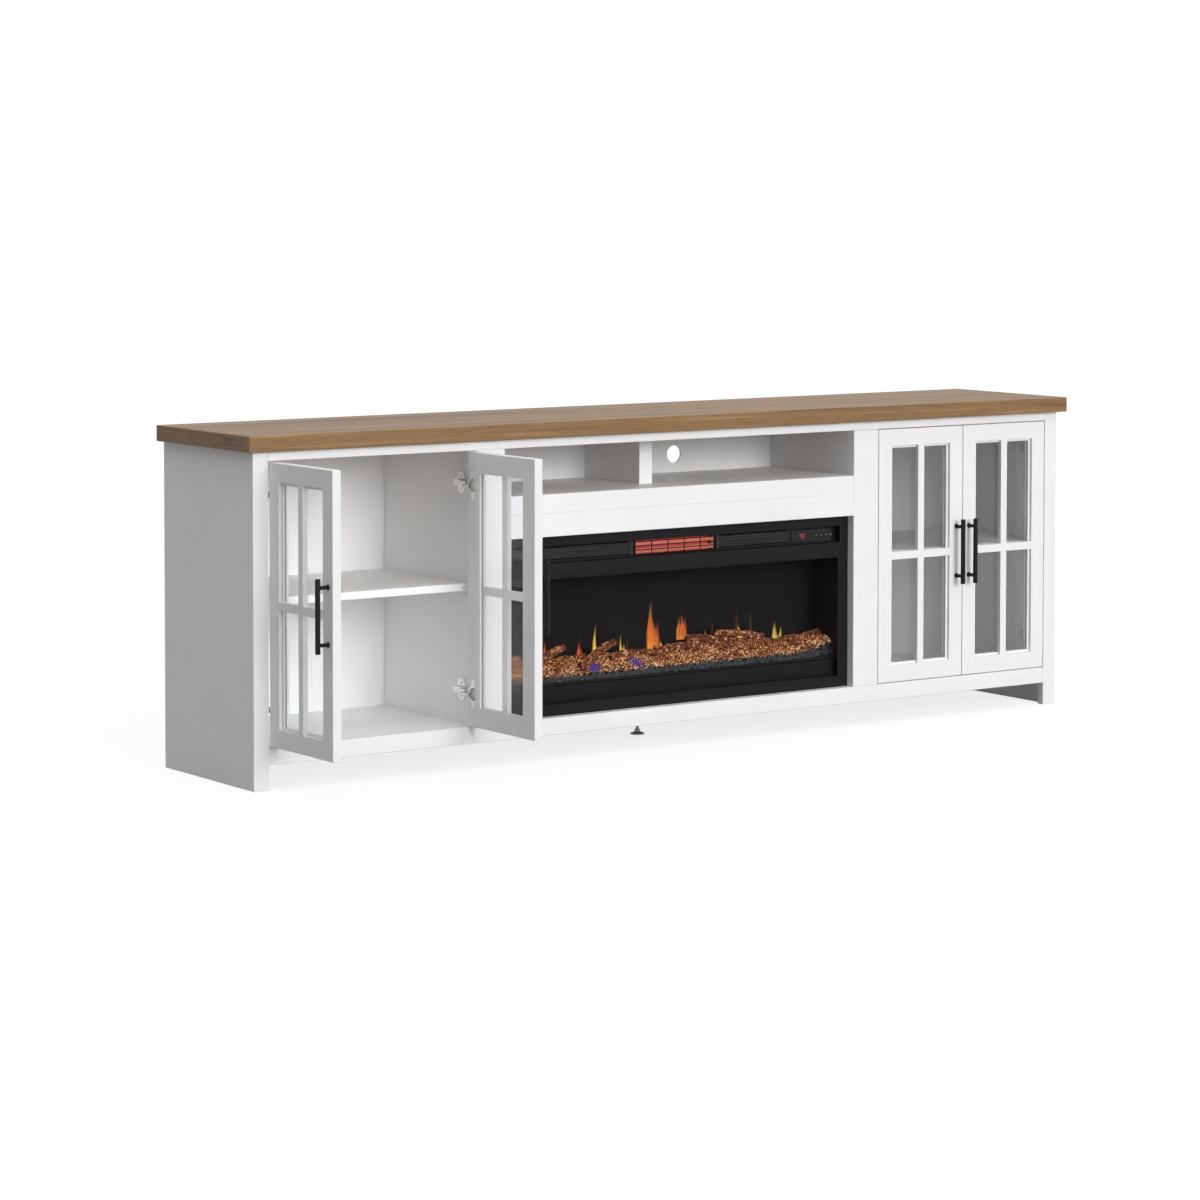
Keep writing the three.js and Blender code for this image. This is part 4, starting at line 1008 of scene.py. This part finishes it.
@dataclass
class EmberBed:
    """The bed of embers: a moulded bank, loose coals, a strip of crushed glass, logs and flames."""

    seed: int = 11
    coal_size: tuple[float, float] = (2.2 * MM, 4.5 * MM)
    coal_count: int = 2900
    coal_rings: tuple[int, int] = (7, 5)
    chip_size: tuple[float, float] = (1.5 * MM, 3.1 * MM)
    chip_count: int = 2600
    chip_rings: tuple[int, int] = (5, 4)
    patterns: int = 16
    batch: int = 40
    strip_depth: float = 22 * MM
    front_rise: float = 2.5 * MM
    strip_rise: float = 17 * MM
    back_rise: float = 50 * MM
    mound_x: float = 215 * MM
    mound_reach: float = 120 * MM
    mound_rise: float = 12 * MM
    heap_share: float = 0.6
    heap_reach: float = 60 * MM
    ripple: float = 7 * MM
    spill: float = 5 * MM
    log_sides: int = 22
    log_rings: int = 36
    bark_depth: float = 0.16
    logs: tuple[Log, ...] = (
        Log((-402, -112, 204), (-283, -86, 250), (13, 8.5), 5),
        Log((-500, -100, 214), (-420, -84, 232), (11, 9), 3),
        Log((-252, -116, 200), (-130, -84, 252), (13, 8.5), 5),
        Log((-150, -92, 214), (-60, -96, 221), (9, 8), 4),
        Log((-24, -100, 218), (128, -94, 228), (10, 9), 5),
        Log((86, -86, 246), (212, -104, 230), (7.5, 9), 3),
        Log((168, -104, 255), (318, -98, 232), (6.5, 10), 3),
        Log((400, -100, 208), (512, -84, 227), (12.5, 10), 3),
    )
    flames: tuple[Flame, ...] = (
        Flame(-1, 215, 345, 27, Flicker.TALL, 3),
        Flame(19, 222, 291, 22, Flicker.RED, 1),
        Flame(11, 228, 287, 20, Flicker.TALL, -2),
        Flame(33, 214, 241, 15, Flicker.YELLOW, -2),
        Flame(87, 236, 299, 17, Flicker.TALL, 1),
        Flame(97, 236, 303, 19, Flicker.TALL, -1),
        Flame(106, 236, 297, 14, Flicker.RED, 2),
        Flame(-171, 214, 297, 19, Flicker.YELLOW, 3),
        Flame(-219, 214, 260, 15, Flicker.RED, 4),
        Flame(-212, 214, 248, 9, Flicker.RED, -2),
        Flame(-91, 212, 271, 12, Flicker.YELLOW, -2),
        Flame(-84, 212, 240, 16, Flicker.YELLOW, 3),
        Flame(172, 216, 258, 17, Flicker.YELLOW, -2),
        Flame(184, 214, 241, 22, Flicker.YELLOW, 3),
        Flame(190, 226, 296, 8, Flicker.PALE, 3),
        Flame(277, 226, 265, 23, Flicker.YELLOW, -4),
        Flame(391, 216, 263, 25, Flicker.YELLOW, -3),
        Flame(408, 216, 252, 12, Flicker.YELLOW, 2),
        Flame(266, 226, 308, 15, Flicker.PALE, 6),
        Flame(314, 226, 305, 13, Flicker.PALE, -4),
        Flame(-320, 226, 263, 10, Flicker.RED, 1),
        Flame(-72, 214, 268, 9, Flicker.PALE, 3),
    )
    flame_gap: float = 0.5 * MM
    flame_body: float = 0.3 * MM
    flame_grid: tuple[int, int] = (8, 26)
    flame_sway: float = 1.6
    flame_waves: float = 6.0
    flame_shift: float = 2.1
    bank_grid: tuple[int, int] = (240, 22)
    lump_stretch: tuple[float, float] = (0.7, 1.35)
    lump_rough: float = 0.2
    coal_rise: float = 0.3
    chip_rise: float = 0.35
    blue_places: tuple[Point, ...] = ((-0.213, -0.118, 0.203), (-0.082, -0.116, 0.207))

    def __post_init__(self) -> None:
        """Finds the room between the tray and the screen, and makes the finishes."""
        self.low, self.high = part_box("ember_bed")
        self.random = random.Random(self.seed)
        self.coal_lumps = [self.rough_lump(self.coal_rings) for _ in range(self.patterns)]
        self.chip_lumps = [self.rough_lump(self.chip_rings) for _ in range(self.patterns)]
        reach = (self.low.y + self.strip_depth, self.high.y)
        self.coals = Coals("hot_coals", (0.020, 0.008, 0.005), (0.066, 0.024, 0.014), 360.0, 0.45,
                           0.86, *reach, 0.07, self.blue_places).make()
        self.bark = Coals("charred_bark", (0.045, 0.017, 0.011), (0.13, 0.048, 0.030), 170.0, 0.50,
                          0.55, *reach).make()

    def bank(self, x: float, y: float) -> float:
        """Returns the height of the moulded bank at a place.

        Args:
            x: The place across the cabinet.
            y: The place from front to back.

        Returns:
            The height of the top above the floor.
        """
        strip = self.low.y + self.strip_depth
        onto = min(max((y - self.low.y) / self.strip_depth, 0.0), 1.0)
        heaped = onto * self.heap_share * math.exp(-((self.high.x - x) / self.heap_reach) ** 2)
        beyond = min(max((y - strip) / (self.high.y - strip), 0.0) + heaped, 1.0)
        rise = self.front_rise + (self.strip_rise - self.front_rise) * onto
        rise += (self.back_rise - self.strip_rise) * math.sin(beyond * math.pi / 2)
        rise += self.mound_rise * beyond * math.exp(-((x - self.mound_x) / self.mound_reach) ** 2)
        wave = noise.noise(Vector((x * 34, y * 40, 1.0))) * self.ripple
        swell = noise.noise(Vector((x * 9, 4.0, 2.0))) * self.ripple
        return self.low.z + rise + wave * (0.25 * onto + 0.75 * beyond) + swell * beyond

    def build(self) -> None:
        """Makes every piece of the bed."""
        self.build_bank()
        self.build_loose()
        for index, log in enumerate(self.logs):
            self.build_log(index, log)
        for index, flame in enumerate(self.flames):
            self.build_flame(index, flame)

    def build_bank(self) -> None:
        """Builds the moulded bank that the coals and logs lie on."""
        shape = bmesh.new()
        across = self.high.x - self.low.x
        deep = self.high.y - self.low.y
        centre = (self.low + self.high) / 2
        place = Matrix.Translation((centre.x, centre.y, 0)) @ Matrix.Diagonal((across, deep, 1, 1))
        columns, rows = self.bank_grid
        bmesh.ops.create_grid(shape, x_segments=columns, y_segments=rows, size=0.5, matrix=place)
        for vertex in shape.verts:
            vertex.co.z = self.bank(vertex.co.x, vertex.co.y)
        rim = [edge for edge in shape.edges if edge.is_boundary]
        skirt = bmesh.ops.extrude_edge_only(shape, edges=rim)["geom"]
        for vertex in (item for item in skirt if isinstance(item, bmesh.types.BMVert)):
            vertex.co.z = self.low.z
        bmesh.ops.contextual_create(shape, geom=[edge for edge in shape.edges if edge.is_boundary])
        self.finish("ember_bank", shape, self.coals)

    @staticmethod
    def finish(name: str, shape: Shape, material: Material, smooth: bool = True) -> None:
        """Finishes one piece that stands for the moulded bed."""
        WORKSHOP.piece(name, shape, material, "root", ("ember_bed",), smooth)

    def rough_lump(self, rings: tuple[int, int]) -> bpy.types.Mesh:
        """Returns a rough ball of unit size, the pattern of many lumps.

        Args:
            rings: The steps round and along the ball, before it is roughened.

        Returns:
            The pattern's mesh.
        """
        shape = bmesh.new()
        around, along = rings
        made = bmesh.ops.create_uvsphere(shape, u_segments=around, v_segments=along, radius=1.0)
        stretch_by = Vector(self.random.uniform(*self.lump_stretch) for _ in range(3))
        for vertex in made["verts"]:
            rough = 1 + self.random.uniform(-self.lump_rough, self.lump_rough)
            vertex.co = Vector(part * by * rough for part, by in zip(vertex.co, stretch_by))
        return mesh_of(shape, "lump")

    def scatter(self, shape: Shape, centre: Vector, size: float,
                patterns: list[bpy.types.Mesh]) -> None:
        """Adds one lump.

        Args:
            shape: The mesh to add to.
            centre: The lump's middle.
            size: Its mean radius.
            patterns: The rough balls that it is picked from.
        """
        before = len(shape.verts)
        shape.from_mesh(self.random.choice(patterns))
        shape.verts.ensure_lookup_table()
        turn = Matrix.Rotation(self.random.uniform(0, math.tau), 3, "Z") @ Matrix.Rotation(
            self.random.uniform(0, math.tau), 3, "X")
        for vertex in shape.verts[before:]:
            vertex.co = centre + turn @ vertex.co * size

    def gather(self, count: int, add: Callable[[Shape], None]) -> Shape:
        """Adds many lumps to one mesh, a batch at a time, as each step on a large mesh is slow.

        Args:
            count: How many lumps to add.
            add: Adds one lump to a mesh.

        Returns:
            The mesh with every lump.
        """
        whole = bmesh.new()
        for start in range(0, count, self.batch):
            part = bmesh.new()
            for _ in range(min(self.batch, count - start)):
                add(part)
            mesh = mesh_of(part, "batch")
            whole.from_mesh(mesh)
            bpy.data.meshes.remove(mesh)
        return whole

    def add_coal(self, shape: Shape) -> None:
        """Drops one loose coal on the bank."""
        margin = self.coal_size[1] * 1.5
        x = self.random.uniform(self.low.x + margin, self.high.x - margin)
        y = self.random.uniform(self.low.y + self.strip_depth - self.spill, self.high.y - margin)
        size = self.random.uniform(*self.coal_size)
        centre = Vector((x, y, self.bank(x, y) + size * self.coal_rise))
        self.scatter(shape, centre, size, self.coal_lumps)

    def add_chip(self, shape: Shape) -> None:
        """Lays one chip of crushed glass along the front of the tray."""
        margin = self.chip_size[1] * 1.5
        x = self.random.uniform(self.low.x + margin, self.high.x - margin)
        y = self.random.uniform(self.low.y + margin, self.low.y + self.strip_depth + margin)
        size = self.random.uniform(*self.chip_size)
        centre = Vector((x, y, self.bank(x, y) + size * self.chip_rise))
        self.scatter(shape, centre, size, self.chip_lumps)

    def build_loose(self) -> None:
        """Scatters loose coals over the bank, and the strip of crushed glass in front of them."""
        self.finish("loose_coals", self.gather(self.coal_count, self.add_coal), self.coals, False)
        chips = Metal("crushed_glass", (0.064, 0.070, 0.076), 0.0, 0.35, 300.0, shine=0.3).make()
        self.finish("crushed_glass", self.gather(self.chip_count, self.add_chip), chips, False)

    def build_log(self, index: int, log: Log) -> None:
        """Builds one log with furrowed bark and broken ends.

        Args:
            index: Its number in the bed.
            log: Its size and place.
        """
        shape = bmesh.new()
        bmesh.ops.create_cone(shape, cap_ends=True, segments=self.log_sides, radius1=1.0,
                              radius2=1.0, depth=1.0)
        long_edges = [edge for edge in shape.edges
                      if abs(edge.verts[0].co.z - edge.verts[1].co.z) > 0.5]
        bmesh.ops.subdivide_edges(shape, edges=long_edges, cuts=self.log_rings, use_grid_fill=True)
        start, end = Vector(log.start) * MM, Vector(log.end) * MM
        length = (end - start).length
        turn = (end - start).to_track_quat("Z", "Y")
        for vertex in shape.verts:
            share = vertex.co.z + 0.5
            radius = (log.radii[0] + (log.radii[1] - log.radii[0]) * share) * MM
            angle = math.atan2(vertex.co.y, vertex.co.x)
            across, aside = math.cos(angle), math.sin(angle)
            furrow = noise.noise(Vector((across * 2.6, aside * 2.6 + index * 7, share * 2.2)))
            crack = noise.noise(Vector((across * 5, aside * 5 + index * 3, share * 9)))
            knot = noise.noise(Vector((share * 4.0, index * 5.0, 0.3)))
            grown = radius * (1 + self.bark_depth * (1.3 * furrow + 0.7 * crack + 0.8 * knot))
            ragged = 0.012 * noise.noise(Vector((vertex.co.x * 3, vertex.co.y * 3, index * 2.0)))
            if share in (0.0, 1.0):
                grown *= 0.9
            flat = Vector((vertex.co.x, vertex.co.y, 0)) * grown
            at = turn @ (flat + Vector((0, 0, (share + ragged) * length)))
            lift = math.sin(math.pi * share) * log.bend * MM
            vertex.co = start + at + Vector((0, 0, lift))
        self.finish(f"log_{index + 1}", shape, self.bark)

    @staticmethod
    def narrowing(kind: Flicker, up: float) -> float:
        """Returns the share of its width that a flame keeps at a share of its height."""
        step = min(max((up - 0.35) / 0.40, 0.0), 1.0)
        return {
            Flicker.TALL: 1.0 - 0.62 * step * step * (3 - 2 * step),
            Flicker.YELLOW: 0.20 + 0.80 * (1.0 - up) ** 1.6,
            Flicker.RED: 0.35 + 0.65 * (1.0 - up),
            Flicker.PALE: 0.50 + 0.30 * (1.0 - up),
        }[kind]

    def build_flame(self, index: int, flame: Flame) -> None:
        """Builds one flame as a tongue of light that lies on the screen.

        Args:
            index: Its number on the screen.
            flame: Its size and place.
        """
        shape = bmesh.new()
        shape.loops.layers.uv.new("UVMap")
        columns, rows = self.flame_grid
        bmesh.ops.create_grid(shape, x_segments=columns, y_segments=rows, size=0.5, calc_uvs=True)
        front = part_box("flame_screen")[0].y - self.flame_gap
        for vertex in shape.verts:
            up = vertex.co.y + 0.5
            swell = self.narrowing(flame.kind, up)
            wave = math.sin(up * self.flame_waves + index * self.flame_shift)
            sway = flame.lean * up * up + self.flame_sway * wave * up
            vertex.co = Vector((
                (flame.x + vertex.co.x * flame.width * swell + sway) * MM,
                front,
                (flame.foot + (flame.tip - flame.foot) * up) * MM,
            ))
        bmesh.ops.solidify(shape, geom=shape.faces[:], thickness=self.flame_body)
        WORKSHOP.piece(f"flame_{index + 1}", shape, FLAME_FINISHES[flame.kind], "root")


@dataclass
class Heater:
    """The heater over the fire: glowing quartz tubes in ceramic ends, a reflector that glows with a
    painted reflection of their light, and a guard.
    """

    finishes: Finishes
    tube_radius: float = 5.5 * MM
    tube_spacing: float = 17 * MM
    tube_ease: float = 0.8 * MM
    tube_inset: float = 0.8
    block_ease: float = 1.0 * MM
    block_length: float = 12 * MM
    block_depth: float = 15 * MM
    trough_depth: float = 3 * MM
    trough_steps: int = 28
    sheet_behind: float = 7 * MM
    sheet: float = 0.8 * MM

    def build(self) -> None:
        """Makes the heater's pieces."""
        low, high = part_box("heater_elements")
        middle = (low + high) / 2
        blocks = bmesh.new()
        tubes = bmesh.new()
        for x in (low.x, high.x - self.block_length):
            far = (x + self.block_length, low.y + self.block_depth, high.z)
            Forge.slab(blocks, (x, low.y, low.z), far, self.block_ease)
        inset = self.block_length * self.tube_inset
        for side in (-1, 1):
            z = middle.z + side * self.tube_spacing / 2
            y = low.y + self.block_depth / 2
            Forge.rod(tubes, Vector((low.x + inset, y, z)), Vector((high.x - inset, y, z)),
                      self.tube_radius, self.tube_ease)
        for name, shape, material in (("heater_ceramic_ends", blocks, self.finishes.ceramic),
                                      ("heater_quartz_tubes", tubes, self.finishes.quartz)):
            WORKSHOP.piece(name, shape, material, "root", ("heater_elements",))
        self.build_reflector(low, high)
        WORKSHOP.dress(self.finishes.black, "heater_guard")

    def build_reflector(self, low: Vector, high: Vector) -> None:
        """Builds the bright sheet behind the tubes, with a trough behind each; it glows red with a
        painted reflection of the tubes' light.

        Args:
            low: The lowest corner of the heating elements.
            high: Their highest corner.
        """
        shape = bmesh.new()
        left, right = low.x + self.block_length, high.x - self.block_length
        points = []
        for step in range(self.trough_steps + 1):
            share = step / self.trough_steps
            wave = math.cos(share * 2 * math.tau) * self.trough_depth
            depth = self.block_depth + self.sheet_behind + wave
            points.append(shape.verts.new((left, low.y + depth, low.z + (high.z - low.z) * share)))
        edges = [shape.edges.new(pair) for pair in zip(points, points[1:])]
        pushed = bmesh.ops.extrude_edge_only(shape, edges=edges)["geom"]
        for vertex in (item for item in pushed if isinstance(item, bmesh.types.BMVert)):
            vertex.co.x = right
        bmesh.ops.solidify(shape, geom=shape.faces[:], thickness=self.sheet)
        WORKSHOP.piece("heater_reflector", shape, self.finishes.reflector, "root")


class Segment(Enum):
    """The strokes of a seven-stroke digit: two corner places in a cell two units high."""

    TOP = ((0, 2), (1, 2))
    MIDDLE = ((0, 1), (1, 1))
    BOTTOM = ((0, 0), (1, 0))
    UPPER_LEFT = ((0, 1), (0, 2))
    UPPER_RIGHT = ((1, 1), (1, 2))
    LOWER_LEFT = ((0, 0), (0, 1))
    LOWER_RIGHT = ((1, 0), (1, 1))


@dataclass
class ControlPanel:
    """The gloss panel with two red digits, and a plain mark on each of its four buttons, lit by a
    faint painted glow.
    """

    finishes: Finishes
    digit_left: float = 389.5 * MM
    digit_width: float = 5.2 * MM
    digit_pitch: float = 8.6 * MM
    digit_half: float = 5.0 * MM
    stroke: float = 1.3 * MM
    stroke_ease: float = 0.15 * MM
    relief: float = 0.2 * MM
    mark_radius: float = 2.3 * MM
    mark_half: float = 0.3 * MM
    mark_ease: float = 0.1 * MM
    bar_half: float = 0.35 * MM
    bar_pitch: float = 1.9 * MM

    def build(self) -> None:
        """Makes the display and the marks."""
        low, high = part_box("control_panel")
        WORKSHOP.dress(self.finishes.gloss, "control_panel", *BUTTONS)
        middle = (low.z + high.z) / 2
        seven = (Segment.TOP, Segment.UPPER_RIGHT, Segment.LOWER_RIGHT, Segment.UPPER_LEFT)
        two = (Segment.TOP, Segment.UPPER_RIGHT, Segment.MIDDLE, Segment.LOWER_LEFT, Segment.BOTTOM)
        for index, strokes in enumerate((seven, two)):
            shape = bmesh.new()
            left = self.digit_left + index * self.digit_pitch
            for stroke in strokes:
                corners = []
                for (x, z), way in zip(stroke.value, (-1, 1)):
                    corners.append((left + x * self.digit_width + way * self.stroke / 2,
                                    low.y + way * self.relief,
                                    middle + (z - 1) * self.digit_half + way * self.stroke / 2))
                Forge.slab(shape, *corners, self.stroke_ease)
            WORKSHOP.piece(f"display_digit_{index + 1}", shape, self.finishes.digits, "root")
        for name in BUTTONS:
            self.build_mark(name)

    def build_mark(self, name: str) -> None:
        """Builds the raised mark on one button; its faint glow is painted light.

        Args:
            name: The button's node and body.
        """
        low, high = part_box(name)
        middle = (low + high) / 2
        shape = bmesh.new()
        front, back = low.y - self.relief, low.y + self.relief
        top = middle.z + self.mark_radius
        if name == "heat_button":
            for step in (-1, 0, 1):
                x = middle.x + step * self.bar_pitch
                Forge.slab(shape, (x - self.bar_half, front, middle.z - self.mark_radius),
                           (x + self.bar_half, back, top), self.mark_ease)
        else:
            self.ring(shape, middle, front, back)
            if name != "flame_button":
                Forge.slab(shape, (middle.x - self.mark_half, front, middle.z),
                           (middle.x + self.mark_half, back, top), self.mark_ease)
        WORKSHOP.piece(f"{name}_mark", shape, self.finishes.marks, name)

    def ring(self, shape: Shape, middle: Vector, front: float, back: float) -> None:
        """Adds a thin ring that faces the front."""
        inner, outer = self.mark_radius - self.mark_half, self.mark_radius + self.mark_half
        profile = [(inner, front), (outer, front), (outer, back), (inner, back), (inner, front)]

        def place(point: Vector) -> Vector:
            """Stands a point of the ring up in front of the button."""
            return Vector((middle.x + point.x, point.z, middle.z + point.y))

        Forge.lathe(shape, profile, place, 24)


@dataclass
class FireInsert:
    """The electric fire: its sheet front, glass, housing, heater, controls and embers."""

    finishes: Finishes

    def build(self) -> None:
        """Makes and dresses every piece of the fire."""
        WORKSHOP.dress(LouvredCoat().make(), "insert_fascia")
        # The housing wears the paler coat, which carries painted light on its shaded walls.
        WORKSHOP.dress(self.finishes.housing, "insert_housing")
        WORKSHOP.dress(self.finishes.fire, "ember_tray")
        WORKSHOP.dress(self.finishes.smoked, "insert_glass")
        WORKSHOP.dress(self.finishes.gloss, "power_inlet")
        WORKSHOP.dress(self.finishes.screen, "flame_screen")
        WORKSHOP.dress(self.finishes.vanes, "flame_spindle")
        EmberBed().build()
        Heater(self.finishes).build()
        ControlPanel(self.finishes).build()


@dataclass(frozen=True)
class Studio:
    """The photograph's viewing angle, soft light, a pale floor and a white background."""

    camera_place: Point = (-5.3589, -7.4637, 1.4332)
    yaw: float = 0.612
    pitch: float = -0.053
    roll: float = 0.001
    lens: float = 3691.6 / 1200 * 36
    shift: tuple[float, float] = (0.0013, -0.2025)
    sensor: float = 36.0
    floor_half: float = 40.0
    floor_colour: Colour = (0.26, 0.26, 0.26)
    floor_seen: float = 0.79
    glow_from: Point = (0.035, -0.974, 0.225)
    glow_power: float = 35.0
    glow_strength: float = 14.7
    overhead: float = 1.46
    fill: float = 0.01

    def build(self) -> None:
        """Sets up the whole studio."""
        self.build_camera()
        self.build_floor()
        self.build_world()
        settings = bpy.context.scene.view_settings
        settings.view_transform = "Standard"

    def build_camera(self) -> None:
        """Makes the camera."""
        data = bpy.data.cameras.new("camera")
        data.lens = self.lens
        data.sensor_width = self.sensor
        data.sensor_fit = "HORIZONTAL"
        data.shift_x, data.shift_y = self.shift
        data.clip_end = 200.0
        camera = put("camera", data)
        forward = Vector((math.sin(self.yaw) * math.cos(self.pitch),
                          math.cos(self.yaw) * math.cos(self.pitch), math.sin(self.pitch)))
        turn = forward.to_track_quat("-Z", "Y").to_matrix() @ Matrix.Rotation(self.roll, 3, "Z")
        camera.matrix_world = Matrix.Translation(self.camera_place) @ turn.to_4x4()
        bpy.context.scene.camera = camera

    def build_floor(self) -> None:
        """Makes the floor, which is white to the eye and keeps the soft shadow."""
        shape = bmesh.new()
        bmesh.ops.create_grid(shape, x_segments=1, y_segments=1, size=self.floor_half)
        floor = put("floor", mesh_of(shape, "floor"))
        shader = Shader("pale_floor")
        shader.set(
            Base_Color=self.floor_colour,
            Roughness=0.9,
            Emission_Color=(1.0, 1.0, 1.0),
            Emission_Strength=shader.product(shader.seen(), self.floor_seen),
            Specular_IOR_Level=0.0,
        )
        floor.data.materials.append(shader.material)

    def build_world(self) -> None:
        """Makes the light: a broad soft glow from the front and above, white where it is seen."""
        world = bpy.data.worlds.new("studio")
        world.use_nodes = True
        nodes = Nodes(world.node_tree)
        ways = {0: nodes.coords("Generated"), 1: Vector(self.glow_from).normalized()}
        facing = nodes.node("VectorMath", ways, operation="DOT_PRODUCT").outputs["Value"]
        lobe = nodes.math("POWER", nodes.math("MAXIMUM", facing, 0.0), self.glow_power)
        upward = nodes.math("MAXIMUM", nodes.axes("Generated")["Z"], 0.0)
        above = nodes.math("POWER", upward, 2.0)
        even = nodes.math("MULTIPLY_ADD", above, self.overhead, self.fill)
        glow = nodes.math("MULTIPLY_ADD", lobe, self.glow_strength, even)
        seen = nodes.seen()
        unseen = nodes.math("SUBTRACT", 1.0, seen)
        background = nodes.tree.nodes["Background"].inputs
        nodes.feed(background["Color"], (1.0, 1.0, 1.0))
        nodes.feed(background["Strength"], nodes.math("MULTIPLY_ADD", glow, unseen, seen))
        bpy.context.scene.world = world


DOORS = (
    ("left_outer", 1, True),
    ("left_inner", -1, True),
    ("right_inner", 1, False),
    ("right_outer", -1, False),
)


def main() -> None:
    """Builds the studio and every piece, in order."""
    logging.basicConfig(level=logging.INFO, format="%(name)s: %(message)s")
    Studio().build()
    finishes = Finishes()
    Joinery(finishes).dress()
    for name, sign, is_open in DOORS:
        GlazedDoor(name, sign, is_open, finishes).build()
    FireInsert(finishes).build()
    LOG.info("%d pieces built", len(WORKSHOP.pieces))


if __name__ == "__main__":
    main()
